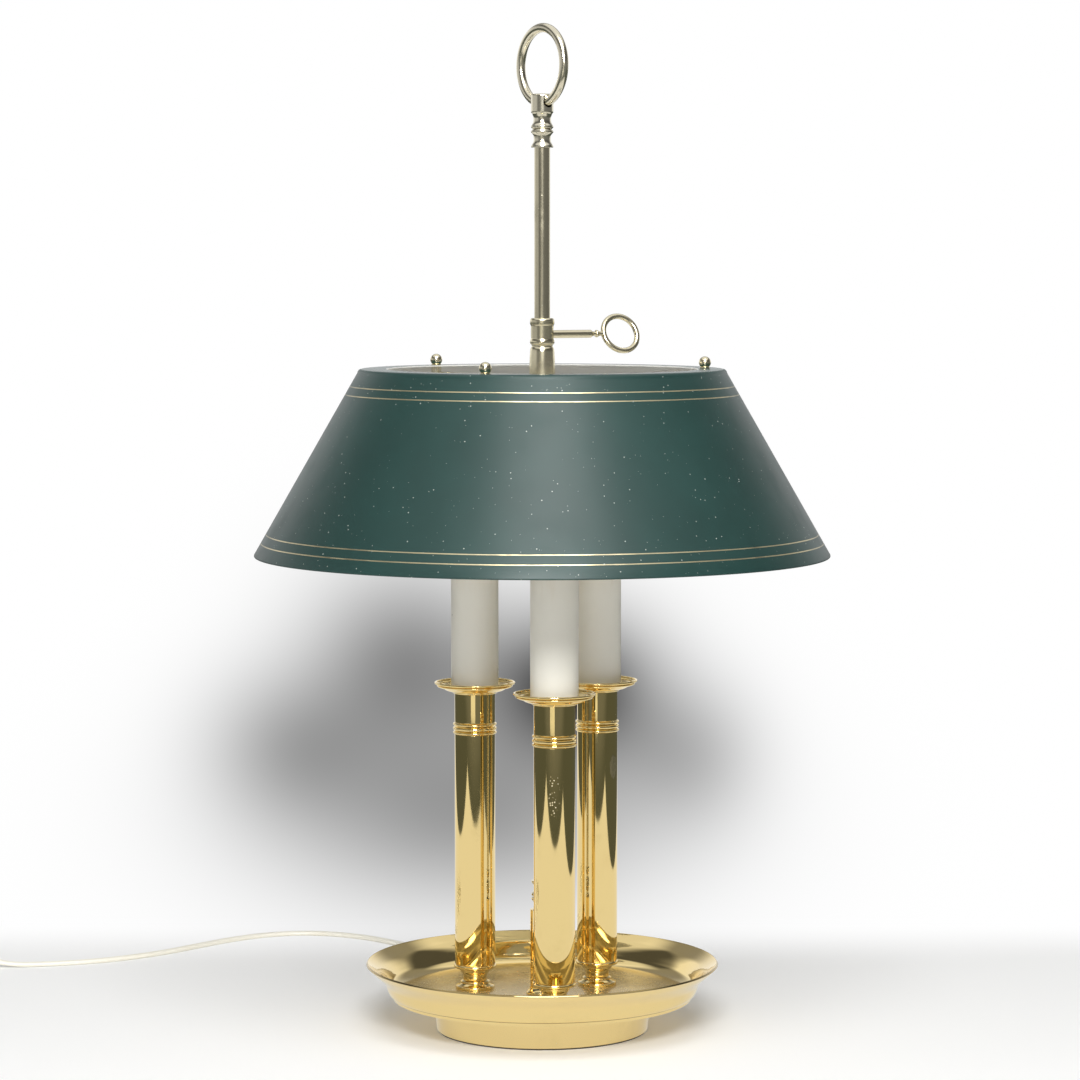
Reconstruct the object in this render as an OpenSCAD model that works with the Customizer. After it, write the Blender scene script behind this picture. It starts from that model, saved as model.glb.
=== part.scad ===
// Bouillotte lamp: a brass dish on a weighted foot, three candle columns, and a
// painted metal shade that slides on a central rod and is held by a thumb key.
// Origin on the rod's axis at table level, +Z up, the front of the lamp towards -Y.

/* [Foot and dish] */
// Thickness of the felt under the foot
felt_t = 2; // [1:0.5:3]
// Radius of the foot ring at its lower edge
foot_r = 66; // [60:1:72]
// How much wider the foot ring is at its upper edge
foot_flare = 3; // [0:0.5:5]
// Height of the foot ring
foot_h = 17.5; // [15:0.5:24]
// Wall of the foot ring
foot_wall = 2.5; // [1.5:0.5:4]
// Thickness of the iron weight inside the foot
weight_t = 10; // [6:1:10]
// Wall of the turned dish
dish_wall = 3; // [2:0.2:3.4]
// Radius of the dish at its rim
rim_r = 110; // [100:1:125]
// Radius of the dish where its side stands upright
bowl_r = 97.5; // [88:0.5:99]
// Radius of the flat floor of the dish
floor_r = 77; // [70:1:80]
// Height of the rim above the underside of the dish
dish_h = 23.1; // [21:0.1:32]

/* [Columns] */
// Radius of the circle on which the columns stand
column_circle_r = 45; // [42:0.5:48]
// Turn of the front column away from straight ahead, towards +X
column_turn = 9.5; // [0:0.5:20]
// Radius of a column tube
tube_r = 12.7; // [12.4:0.1:13.2]
// Wall of a column tube
tube_wall = 1; // [0.8:0.1:1.5]
// Length of a column tube
tube_l = 145.5; // [100:0.5:170]
// Height of a pedestal, with the ring that carries the tube
pedestal_h = 16; // [14:0.5:20]
// Radius of a pedestal at its foot
pedestal_r = 12.2; // [11.5:0.1:13.5]
// Radius of a pedestal at its neck
neck_r = 7.5; // [7:0.1:9]
// Height of the group of three beads above a tube
beads_h = 7.3; // [6.5:0.1:9]
// How far the beads stand out from the tube
beads_out = 0.9; // [0.5:0.1:1.2]
// Height of the plain cup above the beads
cup_h = 18.2; // [14:0.2:24]
// Radius of a drip pan at its rim
pan_r = 25.3; // [22:0.1:27]
// Height of a drip pan
pan_h = 7.2; // [6:0.1:9]
// Outer radius of the threaded tubes that tie the columns to the foot
tie_r = 5; // [4.5:0.1:5.2]
// Radius of the wire way in a threaded tube
tie_bore_r = 3.4; // [3:0.1:3.8]

/* [Candles and lamps] */
// Outer radius of a candle sleeve
candle_r = 14.8; // [14.6:0.1:15.4]
// Wall of a candle sleeve
candle_wall = 1; // [0.8:0.1:1.4]
// Length of a candle sleeve
candle_h = 90; // [80:1:96]
// Radius of a lampholder
holder_r = 12.6; // [12:0.1:12.8]
// Length of the lampholder's wide body
holder_l = 36; // [32:1:40]
// Radius of the screwed cap of a lamp
cap_r = 7; // [6.9:0.05:7.1]
// Length of the screwed cap of a lamp
cap_l = 24; // [20:1:27]
// Largest radius of a lamp's glass
glass_r = 17.5; // [15:0.5:18]
// Length of a lamp's glass
glass_l = 76; // [70:1:78]

/* [Rod and finial] */
// Radius of the rod
rod_r = 4.9; // [4.5:0.05:5]
// Radius of the post round the foot of the rod
post_r = 7.6; // [7:0.1:9]
// Height of that post above the dish floor
post_h = 53; // [40:1:70]
// Radius of the finial's beads and block
turned_r = 6.95; // [6.9:0.05:7.5]
// Height of the finial's block, which holds the ring
block_h = 12.2; // [11:0.2:15]
// Radius of the big ring, to the middle of its wire
ring_r = 23; // [18:0.5:28]
// Radius of the big ring's wire
ring_wire_r = 2.85; // [2.4:0.05:3]
// Direction of the big ring's plane, seen from above
ring_turn = -55; // [-90:5:0]

/* [Shade] */
// Outer radius of the shade at its lower edge
shade_r = 178.3; // [170:0.1:190]
// Outer radius of the shade at its upper edge
shade_top_r = 114; // [110:0.5:124]
// Width of the shade's flat top, round the opening
flange_w = 18.5; // [17:0.5:24]
// Height of the shade
shade_h = 115.5; // [100:0.5:122]
// Thickness of the shade's sheet
shade_t = 0.7; // [0.6:0.1:1.2]
// Height of the shade's flat top above the table, as it stands
shade_z = 412.8; // [408:0.2:420]
// Distance from the shade's upper edge to the middle of a ball nut
ball_inset = 10.8; // [9:0.1:12]
// Turn of the front ball nut away from straight ahead, towards +X
ball_turn = -19.1; // [-25:0.1:-15]
// Radius of a ball nut
ball_r = 3.8; // [3.4:0.1:4.4]
// Radius of the spider's arms
arm_r = 2; // [1.8:0.1:2.2]
// Height of the posts that join the arms to the shade
post_l = 3.5; // [3:0.5:5]
// Height of the sliding sleeve above the shade's top
sleeve_top = 31.3; // [28:0.1:36]
// Outer radius of the sliding sleeve's beads
sleeve_r = 7.6; // [7.3:0.1:8.2]
// How far the shade can rise on the rod before it meets the finial
shade_up = 104; // [60:1:120]

/* [Thumb key] */
// Direction of the key, seen from above
key_turn_at = 27; // [0:1:60]
// Radius of the key's screw
key_r = 2.5; // [2.2:0.1:2.6]
// Distance from the rod's axis to the end of the key's plain shank
key_l = 34.5; // [28:0.5:42]
// Radius of the key's ring, to the middle of its wire
key_ring_r = 11.6; // [10:0.2:14]
// Radius of the key's wire
key_wire_r = 1.75; // [1.5:0.05:2]
// Lean of the key's ring away from upright
key_lean = 24; // [0:1:45]

/* [Cord] */
// Width of the flat twin cord
cord_w = 6; // [5.4:0.1:6]
// Thickness of the flat twin cord
cord_t = 3; // [2.6:0.1:3]
// Length of the switch on the cord
switch_l = 56; // [50:1:60]
// Width of that switch
switch_w = 27; // [24:1:32]
// Height of that switch
switch_h = 19; // [18:0.5:22]
// Radius of the outermost turn of the coil
coil_r = 39.5; // [38:0.1:40]
// Step from one turn of the coil to the next
coil_step = 4.8; // [4.8:0.1:5]
// Width of the plug
plug_w = 35; // [32:0.5:38]
// Length of the plug's body
plug_l = 34; // [30:1:38]
// Thickness of the plug
plug_t = 13.6; // [13:0.1:15]
// Distance between the plug's pins
pin_pitch = 19; // [18:0.1:19]

/* [Hidden] */
$fn = 96;
fit = 0.05; // running and screwed fits, on the radius
slack = 0.3; // easy fits, on the radius
seat = 0.2; // how far a curved face stays from what it rests on
columns = [0, 1, 2];
nut_t = 5;
nut_r = 8.6;
foot_top = felt_t + foot_h;
floor_z = foot_top + dish_wall; // the dish's flat floor
weight_z = foot_top - weight_t;
shade_low = shade_z - shade_h;
shade_hole_r = shade_top_r - flange_w;
ball_circle_r = shade_top_r - ball_inset;
sleeve_top_z = shade_z + sleeve_top;
finial_z = sleeve_top_z + shade_up + 0.7; // the finial stands on the rod's shoulder
nut_z = weight_z - nut_t;
tie_z = nut_z - 0.5;
tube_z = floor_z + pedestal_h;
beads_z = tube_z + tube_l;
cup_z = beads_z + beads_h;
pan_z = cup_z + cup_h;
pan_floor = 1.8;
candle_z = pan_z + pan_floor;
candle_top = candle_z + candle_h;
spigot_h = 4;
spigot_r = tube_r - tube_wall - 0.1;
holder_down = 6; // from the top of a candle sleeve to its lampholder
holder_top = candle_top - holder_down;
holder_z = holder_top - holder_l;
stem_r = tie_r + fit + 2;
tie_up = 12; // how far a threaded tube stands in its lampholder
tie_top = candle_z + tie_up;
disc_up = tie_up + 2; // the lampholder's disc, which centres the candle sleeve
disc_t = 2;
wire_r = 2;
cap_z = holder_top - cap_l;
glass_z = holder_top;
post_top = floor_z + post_h;
collar_h = 18.2;
finial_turned_h = 20.6; // finial below its block
finial_block_z = finial_z + finial_turned_h;
ring_hole_r = ring_wire_r + 0.65;
ring_z = finial_block_z + block_h - 5.6 + ring_r;
rod_top = finial_z + 9;
arm_z = shade_z - shade_t - post_l - arm_r;
hub_r = 12;
hub_h = 2 * arm_r + 1;
hub_z = arm_z - hub_h / 2;
hub_bore_r = sleeve_r - 0.9;
hub_nut_t = 3;
sleeve_z = hub_z - hub_nut_t - 1;
skirt_z = hub_z + hub_h + 0.1;
key_z = sleeve_top_z - 10;
key_tip = rod_r + 0.05;
key_eye = key_l + 6.8; // axis to the near edge of the key's ring
key_ring_x = key_eye + key_ring_r + key_wire_r;
stud_r = 2.4;
stud_post_r = 3.2; // the posts that carry the studs
exit_z = felt_t + 6;
grommet_r = 5.5;
grommet_out = 20; // its tapered part
grommet_end = 90; // where the cord leaves the grommet, behind the rod
switch_x = -395;
switch_y = 200;
switch_mid = 8; // height of the cord's way through the switch
switch_split = switch_h * 0.45;
rocker_l = 15;
rocker_w = 10;
rocker_hub_r = 3; // half the width of the rocker's foot
rocker_pin_r = 1;
rocker_z = switch_h - 3.5;
rocker_swing = 16; // from one stop to the other
block_y = 42; // the terminal block, behind the rod, in a pocket of the weight
block_size = [24, 14, 9];
block_z = felt_t + 1.5;
lead_r = 2;

// The cord from the foot to the switch, then from the switch to the coil, along
// points chosen by hand: across, back, up, and the turn of its flat side.
run_a = [
    [0, grommet_end, exit_z, 0], [0, 102, 7.6, 0], [-2, 118, 5, 0], [-7, 137, 2.3, 0], [-16, 158, 1.6, 0],
    [-29, 182, 1.6, 0], [-45, 206, 1.6, 0], [-63, 231, 1.6, 0], [-82, 256, 1.6, 0],
    [-102, 280, 1.6, 0], [-123, 301, 1.6, 0], [-147, 315, 1.6, 0], [-172, 319, 1.6, 0],
    [-197, 311, 1.6, 0], [-219, 294, 1.6, 0], [-239, 272, 1.6, 0], [-259, 249, 1.6, 0],
    [-282, 229, 1.6, 0], [-307, 214, 1.6, 0], [-334, 205, 1.6, 0], [-358, 201, 2, 0],
    [-377, 200, 5.4, 0], [-395, 200, 8, 0]
];
run_b = [
    [-451, 200, 8, 0], [-464, 200, 7.2, 0], [-478, 197, 5, 0], [-491, 190, 3.6, 20],
    [-499, 178, 3.2, 50], [-502, 164, 3.1, 80], [-502, 150, 3.1, 90]
];
coil_at = [-502 + coil_r, 150 - 14];
coil_gap_z = 0.7; // between the coil's two layers
coil_turns = 5;
coil_rings = 24;
coil_low = cord_w / 2 + 0.1;
plug_relief = 22; // the tapered sleeve where the cord enters the plug
plug_lead = 50; // straight from the coil to the plug
pin_r = 2;
pin_stub_r = 1.8; // the part of a pin inside the plug
pin_l = 19;

// ---- Shared shapes ----

// Puts its children on column i, counted from the front one.
module on_column(i) {
    a = column_turn + 120 * i;
    translate([column_circle_r * sin(a), -column_circle_r * cos(a), 0]) children();
}

// Puts its children at ball nut i, counted from the front one.
module on_ball(i) {
    rotate([0, 0, ball_turn + 120 * i - 90]) translate([ball_circle_r, 0, 0]) children();
}

// A turned piece from its outline of [radius, height] points.
module turned(points) {
    rotate_extrude() polygon(points);
}

// Points of an arc in an outline, from angle a to angle b.
function arc(x, z, r, a, b, n = 6) = [for (k = [0:n]) [x + r * cos(a + (b - a) * k / n), z + r * sin(a + (b - a) * k / n)]];

// A bead of radius r that stands out of a cylinder at height z.
function bead(x, z, r) = arc(x, z, r, -90, 90);

// A flat cord's cross-section of n sides, w wide and t thick.
function section(w, t, n) = [for (k = [0:n - 1]) let (a = 360 * (k + 0.5) / n) [w / 2 * cos(a), t / 2 * sin(a)] / cos(180 / n)];

// The route with one more point, on a smooth curve, between each two of its own.
function finer(p) = [
    for (i = [0:len(p) - 2])
        each [p[i], (9 * (p[i] + p[i + 1]) - p[max(i - 1, 0)] - p[min(i + 2, len(p) - 1)]) / 16],
    p[len(p) - 1]
];

function xyz(p) = [p[0], p[1], p[2]];
function unit(v) = v / norm(v);

// One ring of a cord's skin: square to its way at point i of route p.
function cord_ring(p, i, sec) = let (
    way = unit(xyz(p[min(i + 1, len(p) - 1)]) - xyz(p[max(i - 1, 0)])),
    side = unit(cross(way, [0, 0, 1])),
    top = cross(side, way),
    c = cos(p[i][3]),
    s = sin(p[i][3])
) [for (q = sec) xyz(p[i]) + (q[0] * c - q[1] * s) * side + (q[0] * s + q[1] * c) * top];

// The skin of a cord along route p, as a closed solid.
module cord(p, sec) {
    n = len(sec);
    rings = len(p);
    polyhedron(
        points = [for (i = [0:rings - 1]) each cord_ring(p, i, sec)],
        faces = [
            for (k = [1:n - 2]) [0, k, k + 1],
            for (i = [0:rings - 2], k = [0:n - 1]) let (a = i * n + k, b = i * n + (k + 1) % n)
                each [[a, a + n, b + n], [a, b + n, b]],
            for (k = [1:n - 2]) [(rings - 1) * n, (rings - 1) * n + k + 1, (rings - 1) * n + k]
        ]
    );
}

// ---- Foot and dish ----

module felt_pad() {
    color("darkslategray") cylinder(r = foot_r - 0.8, h = felt_t);
}

module foot_ring() {
    top_r = foot_r + foot_flare;
    color("gold") difference() {
        turned([
            [foot_r - foot_wall - 1, felt_t], [foot_r - 1, felt_t], [foot_r, felt_t + 1],
            [foot_r + 0.5, felt_t + 4], [top_r - 0.4, foot_top - 4.5], [top_r, foot_top - 3],
            [top_r, foot_top - 2], [top_r - 1.6, foot_top - 1.2], [top_r - 1.6, foot_top],
            [top_r - foot_wall - 1.6, foot_top], [foot_r - foot_wall - 1, felt_t + 4]
        ]);
        translate([0, foot_r - foot_wall - 3, exit_z]) rotate([-90, 0, 0]) cylinder(r = grommet_r + fit, h = foot_wall + 12);
    }
}

module base_weight() {
    color("dimgray") difference() {
        translate([0, 0, weight_z]) cylinder(r = foot_r - foot_wall - 3, h = weight_t);
        translate([0, 0, weight_z - 1]) cylinder(r = rod_r + slack, h = weight_t + 2);
        for (i = columns) on_column(i) translate([0, 0, weight_z - 1]) cylinder(r = tie_r + slack, h = weight_t + 2);
        translate([-block_size[0] / 2 - slack, block_y - block_size[1] / 2 - slack, weight_z - 1])
            cube([block_size[0] + 2 * slack, block_size[1] + 2 * slack, block_z + block_size[2] + slack - weight_z + 1]);
        translate([-lead_r - slack, block_y, weight_z - 1]) cube([2 * (lead_r + slack), foot_r, exit_z + lead_r + slack - weight_z + 1]);
    }
}

module base_dish() {
    bowl_z = foot_top + 8.5;
    rim_z = foot_top + dish_h;
    step = dish_wall * 0.62;
    outer = [
        [floor_r - 8, foot_top], [floor_r + 1, foot_top + 0.4],
        [floor_r + 8, foot_top + 2], [floor_r + 14, foot_top + 4], [bowl_r - 2.6, foot_top + 5.6],
        [bowl_r - 0.7, foot_top + 7.2], [bowl_r, bowl_z + 0.4], [bowl_r + 0.8, bowl_z + 3],
        [rim_r - 6.6, rim_z - 8], [rim_r - 0.8, rim_z - 1.2]
    ];
    inner = [
        [rim_r, rim_z - 0.3], [rim_r - 0.6, rim_z], [rim_r - 1.6, rim_z - 0.5],
        [rim_r - 7.8, rim_z - 7], [bowl_r - 0.9, bowl_z + 4.4], [bowl_r - step - 0.6, bowl_z + 1.6],
        [bowl_r - 3.4, bowl_z - 0.6], [bowl_r - 6.4, bowl_z - 2.2], [floor_r + 7, floor_z + 1.1],
        [floor_r, floor_z]
    ];
    color("gold") difference() {
        turned(concat([[0, foot_top]], outer, inner, [[0, floor_z]]));
        translate([0, 0, foot_top - 1]) cylinder(r = rod_r + slack, h = dish_wall + 2);
        for (i = columns) on_column(i) translate([0, 0, foot_top - 1]) cylinder(r = tie_r + slack, h = dish_wall + 2);
    }
}

module cord_grommet() {
    inner_y = foot_r - foot_wall - 2.4;
    plain = grommet_end - inner_y - grommet_out;
    color("black") translate([0, inner_y, exit_z]) rotate([-90, 0, 0]) difference() {
        union() {
            cylinder(r = grommet_r, h = plain);
            translate([0, 0, plain]) cylinder(r1 = grommet_r, r2 = cord_w / 2 + 1, h = grommet_out);
        }
        translate([0, 0, -1]) cylinder(r = lead_r + seat, h = plain + grommet_out - 2);
    }
}

module terminal_block() {
    color("ivory") translate([-block_size[0] / 2, block_y - block_size[1] / 2, block_z]) difference() {
        cube(block_size);
        for (x = [5, block_size[0] - 5]) translate([x, -1, 3]) rotate([-90, 0, 0]) cylinder(r = 1.6, h = block_size[1] + 2);
    }
}

// The cord's end inside the foot, from the grommet to the terminal block.
module inner_lead() {
    from = block_y + block_size[1] / 2;
    color("wheat") translate([0, from, exit_z]) rotate([-90, 0, 0]) cylinder(r = lead_r, h = grommet_end - 3 - from);
}

// The nuts under the weight, one on the rod and one on each threaded tube.
module base_nuts() {
    color("silver") {
        hex_nut(rod_r);
        for (i = columns) on_column(i) hex_nut(tie_r);
    }
}

module hex_nut(r) {
    translate([0, 0, nut_z]) difference() {
        cylinder(r = nut_r, h = nut_t, $fn = 6);
        translate([0, 0, -1]) cylinder(r = r + fit, h = nut_t + 2);
    }
}

// ---- Columns ----

module pedestal(i) {
    z = floor_z;
    color("gold") on_column(i) difference() {
        turned(concat(
            [[0, z], [pedestal_r, z], [pedestal_r, z + 0.9]],
            arc(pedestal_r - 0.5, z + 1.4, 0.7, -30, 70, 3),
            [[pedestal_r - 2, z + 2.4], [neck_r + 1.9, z + 3.4]],
            arc(neck_r + 1.1, z + 4.3, 0.8, -40, 90, 4),
            [[neck_r, z + 5.6], [neck_r, z + 7.4], [neck_r + 0.5, z + 9], [neck_r + 2, z + 11]],
            [[tube_r - 2.6, z + pedestal_h - 3.6], [tube_r - 0.9, z + pedestal_h - 3]],
            arc(tube_r - 0.6, z + pedestal_h - 1.5, 1.3, -70, 70, 6),
            [[tube_r - 0.2, z + pedestal_h], [spigot_r, z + pedestal_h], [spigot_r, z + pedestal_h + spigot_h]],
            [[0, z + pedestal_h + spigot_h]]
        ));
        translate([0, 0, z - 1]) cylinder(r = tie_r + slack, h = pedestal_h + spigot_h + 2);
    }
}

module column_tube(i) {
    color("gold") on_column(i) translate([0, 0, tube_z]) difference() {
        cylinder(r = tube_r, h = tube_l);
        translate([0, 0, -1]) cylinder(r = tube_r - tube_wall, h = tube_l + 2);
    }
}

module column_beads(i) {
    z = beads_z;
    h = beads_h;
    color("gold") on_column(i) difference() {
        turned(concat(
            [[0, z - spigot_h], [spigot_r, z - spigot_h], [spigot_r, z], [tube_r - 0.1, z]],
            bead(tube_r + beads_out * 0.35, z + h * 0.12, h * 0.1),
            [[tube_r - 0.2, z + h * 0.26]],
            bead(tube_r - 0.2, z + h * 0.47, h * 0.17),
            [[tube_r - 0.2, z + h * 0.69]],
            bead(tube_r + beads_out * 0.35, z + h * 0.84, h * 0.1),
            [[tube_r - 0.1, z + h], [spigot_r, z + h], [spigot_r, z + h + spigot_h], [0, z + h + spigot_h]]
        ));
        translate([0, 0, z - spigot_h - 1]) cylinder(r = tie_r + slack, h = h + 2 * spigot_h + 2);
    }
}

module column_cup(i) {
    floor_t = 2;
    color("gold") on_column(i) translate([0, 0, cup_z]) difference() {
        cylinder(r = tube_r, h = cup_h);
        translate([0, 0, -1]) cylinder(r = tube_r - tube_wall, h = cup_h - floor_t + 1);
        translate([0, 0, -1]) cylinder(r = tie_r + slack, h = cup_h + 2);
    }
}

module drip_pan(i) {
    z = pan_z;
    h = pan_h;
    color("gold") on_column(i) difference() {
        turned([
            [0, z], [tube_r + 0.9, z], [tube_r + 1.3, z + 0.5], [tube_r + 1.3, z + 1],
            [tube_r + 3, z + 1.3], [pan_r - 7.2, z + 1.9], [pan_r - 5.6, z + 3], [pan_r - 5.2, z + 3.4],
            [pan_r - 3.4, z + 3.8], [pan_r - 1.2, z + 5], [pan_r, z + h - 0.9], [pan_r, z + h - 0.3],
            [pan_r - 0.5, z + h], [pan_r - 1.1, z + h - 0.5], [pan_r - 2.2, z + 5.7],
            [pan_r - 4.4, z + 4.9], [pan_r - 7.4, z + 3.6], [candle_r + 0.9, z + 2.4],
            [candle_r + 0.4, z + pan_floor], [0, z + pan_floor]
        ]);
        translate([0, 0, z - 1]) cylinder(r = tie_r + slack, h = pan_floor + 2);
    }
}

module tie_tube(i) {
    color("silver") on_column(i) translate([0, 0, tie_z]) difference() {
        cylinder(r = tie_r, h = tie_top - tie_z);
        translate([0, 0, -1]) cylinder(r = tie_bore_r, h = tie_top - tie_z + 2);
    }
}

module inner_wire(i) {
    low = felt_t + 0.6;
    color("wheat") on_column(i) translate([0, 0, low]) cylinder(r = wire_r, h = holder_z - low);
}

// ---- Candles and lamps ----

module lampholder(i) {
    color("ivory") on_column(i) difference() {
        union() {
            translate([0, 0, candle_z]) cylinder(r = stem_r, h = holder_z - candle_z + 1);
            translate([0, 0, holder_z]) cylinder(r = holder_r, h = holder_l);
            translate([0, 0, candle_z + disc_up]) cylinder(r = candle_r - candle_wall - seat, h = disc_t);
        }
        translate([0, 0, candle_z - 1]) cylinder(r = tie_r + fit, h = tie_top - candle_z + 1.1);
        translate([0, 0, candle_z - 1]) cylinder(r = wire_r + slack, h = holder_z - candle_z + 1);
        translate([0, 0, cap_z]) cylinder(r = cap_r + 0.1, h = cap_l + 1);
    }
}

module candle_sleeve(i) {
    color("ivory") on_column(i) translate([0, 0, candle_z]) difference() {
        cylinder(r = candle_r, h = candle_h);
        translate([0, 0, -1]) cylinder(r = candle_r - candle_wall, h = candle_h + 2);
    }
}

module lamp_cap(i) {
    color("silver") on_column(i) turned([
        [0, cap_z], [2.4, cap_z], [2.8, cap_z + 0.8], [cap_r - 1.6, cap_z + 3], [cap_r - 0.4, cap_z + 4.2],
        [cap_r, cap_z + 5.4], [cap_r, glass_z], [0, glass_z]
    ]);
}

module lamp_glass(i) {
    h = glass_l;
    color([1, 1, 1, 0.5]) on_column(i) turned([
        [0, glass_z], [cap_r - 0.6, glass_z], [cap_r + 0.6, glass_z + h * 0.05], [glass_r * 0.62, glass_z + h * 0.13],
        [glass_r * 0.87, glass_z + h * 0.24], [glass_r * 0.98, glass_z + h * 0.34], [glass_r, glass_z + h * 0.42],
        [glass_r * 0.97, glass_z + h * 0.51], [glass_r * 0.86, glass_z + h * 0.63], [glass_r * 0.67, glass_z + h * 0.75],
        [glass_r * 0.44, glass_z + h * 0.86], [glass_r * 0.24, glass_z + h * 0.94], [glass_r * 0.09, glass_z + h * 0.99],
        [0, glass_z + h]
    ]);
}

// ---- Rod and finial ----

module centre_post() {
    z = floor_z;
    color("gold") difference() {
        turned([
            [0, z], [post_r + 2.4, z], [post_r + 2.4, z + 0.8], [post_r + 1.2, z + 1.8],
            [post_r, z + 3.6], [post_r, post_top], [0, post_top]
        ]);
        translate([0, 0, z - 1]) cylinder(r = rod_r + slack, h = post_h + 2);
    }
}

module post_collar() {
    color("gold") difference() {
        turned_beads(post_top, collar_h, turned_r, true);
        translate([0, 0, post_top - 1]) cylinder(r = rod_r + fit, h = collar_h + 2);
    }
}

// The turned outline that the collar and the finial share: a flare, a neck, two
// beads with a groove between them, and a neck. The collar's is upside down.
module turned_beads(z, h, r, flip) {
    shape = concat(
        [[0, 0], [r - 0.3, 0], [r - 0.05, 0.6], [r - 0.5, 1.6], [r - 1.4, 3.2], [r - 1.7, 5]],
        [[r - 1.6, h * 0.36]],
        arc(r - 0.8, h * 0.47, 0.85, -60, 80, 5),
        [[r - 1, h * 0.545]],
        arc(r - 1.1, h * 0.62, 1.1, -60, 60, 5),
        [[r - 1.2, h * 0.73], [r - 1.5, h * 0.8], [r - 1.5, h * 0.9], [r - 1.1, h * 0.96], [r - 0.8, h], [0, h]]
    );
    if (flip) translate([0, 0, z + h]) mirror([0, 0, 1]) rotate_extrude() polygon(shape);
    else translate([0, 0, z]) rotate_extrude() polygon(shape);
}

module rod() {
    color("goldenrod") translate([0, 0, tie_z]) cylinder(r = rod_r, h = rod_top - tie_z);
}

module finial() {
    z = finial_block_z;
    color("goldenrod") difference() {
        union() {
            turned_beads(finial_z, finial_turned_h, turned_r, false);
            turned([
                [0, z], [turned_r - 0.8, z], [turned_r, z + 0.9], [turned_r, z + block_h - 0.7],
                [turned_r - 0.7, z + block_h], [0, z + block_h]
            ]);
        }
        translate([0, 0, finial_z - 1]) cylinder(r = rod_r + fit, h = rod_top - finial_z + 1);
        rotate([0, 0, ring_turn]) translate([-10, 0, ring_z - ring_r + 0.5]) rotate([0, 90, 0]) cylinder(r = ring_hole_r, h = 20);
    }
}

module finial_ring() {
    color("goldenrod") translate([0, 0, ring_z]) rotate([90, 0, ring_turn])
        rotate_extrude() translate([ring_r, 0]) circle(r = ring_wire_r, $fn = 48);
}

// ---- Shade ----

module shade_shell() {
    lean = atan((shade_r - shade_top_r) / shade_h);
    dx = shade_t / cos(lean);
    hem = 1.2;
    color("darkgreen") difference() {
        turned(concat(
            [[shade_hole_r, shade_z - shade_t], [shade_top_r - 2.2 - dx, shade_z - shade_t], [shade_top_r - 0.4 - dx, shade_z - 2.6]],
            [[shade_r - dx - 0.8, shade_low + 1.6], [shade_r - dx - hem, shade_low + 1.6], [shade_r - dx - hem, shade_low]],
            [[shade_r - 0.5, shade_low], [shade_r, shade_low + 0.5], [shade_top_r + 0.6, shade_z - 3.2]],
            [[shade_top_r - 0.5, shade_z - 1.1], [shade_top_r - 2, shade_z], [shade_hole_r, shade_z]]
        ));
        for (i = [0:2]) on_ball(i) translate([0, 0, shade_z - 3]) cylinder(r = stud_r + 0.2, h = 6);
    }
}

// The posts and studs are turned in one piece, and the arms end inside the posts.
module shade_spider() {
    arm_from = hub_bore_r + 1.5;
    color("goldenrod") difference() {
        union() {
            translate([0, 0, hub_z]) cylinder(r = hub_r, h = hub_h);
            for (i = [0:2]) on_ball(i) {
                translate([arm_from - ball_circle_r, 0, arm_z]) rotate([0, 90, 0]) cylinder(r = arm_r, h = ball_circle_r - arm_from - 1.5);
                turned([
                    [0, arm_z - arm_r - 0.5], [stud_post_r, arm_z - arm_r - 0.5], [stud_post_r, shade_z - shade_t],
                    [stud_r, shade_z - shade_t], [stud_r, shade_z + 3], [0, shade_z + 3]
                ]);
            }
        }
        translate([0, 0, hub_z - 1]) cylinder(r = hub_bore_r, h = hub_h + 2);
    }
}

module ball_nuts() {
    color("goldenrod") for (i = [0:2]) on_ball(i) difference() {
        intersection() {
            translate([0, 0, shade_z + ball_r - 0.5]) sphere(r = ball_r);
            translate([0, 0, shade_z]) cylinder(r = ball_r + 1, h = 3 * ball_r);
        }
        translate([0, 0, shade_z - 1]) cylinder(r = stud_r + fit, h = 4 + 0.2);
    }
}

module shade_sleeve() {
    t = sleeve_top_z;
    r = sleeve_r;
    color("goldenrod") difference() {
        turned([
            [0, sleeve_z], [hub_bore_r - 0.06, sleeve_z], [hub_bore_r - 0.06, skirt_z], [r + 0.4, skirt_z],
            [r + 0.4, skirt_z + 1], [r + 0.2, t - 26], [r - 0.1, t - 19.4], [r - 0.4, t - 18.3],
            [r - 1.05, t - 17.7], [r - 1.05, t - 16.4], [r - 0.2, t - 15.8], [r, t - 15], [r, t - 14], [r - 0.3, t - 13.4],
            [r - 0.55, t - 12.8], [r - 0.55, t - 4.6], [r - 0.2, t - 4], [r, t - 3], [r, t - 1.2], [r - 0.5, t - 0.4], [r - 1.1, t], [0, t]
        ]);
        translate([0, 0, sleeve_z - 1]) cylinder(r = rod_r + fit, h = t - sleeve_z + 2);
        translate([0, 0, key_z]) rotate([0, 90, key_turn_at]) cylinder(r = key_r + fit, h = 20);
    }
}

module hub_nut() {
    color("goldenrod") difference() {
        translate([0, 0, hub_z - hub_nut_t - 0.1]) cylinder(r = hub_r - 2, h = hub_nut_t);
        translate([0, 0, hub_z - hub_nut_t - 1]) cylinder(r = hub_bore_r - 0.06 + fit, h = hub_nut_t + 2);
    }
}

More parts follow.
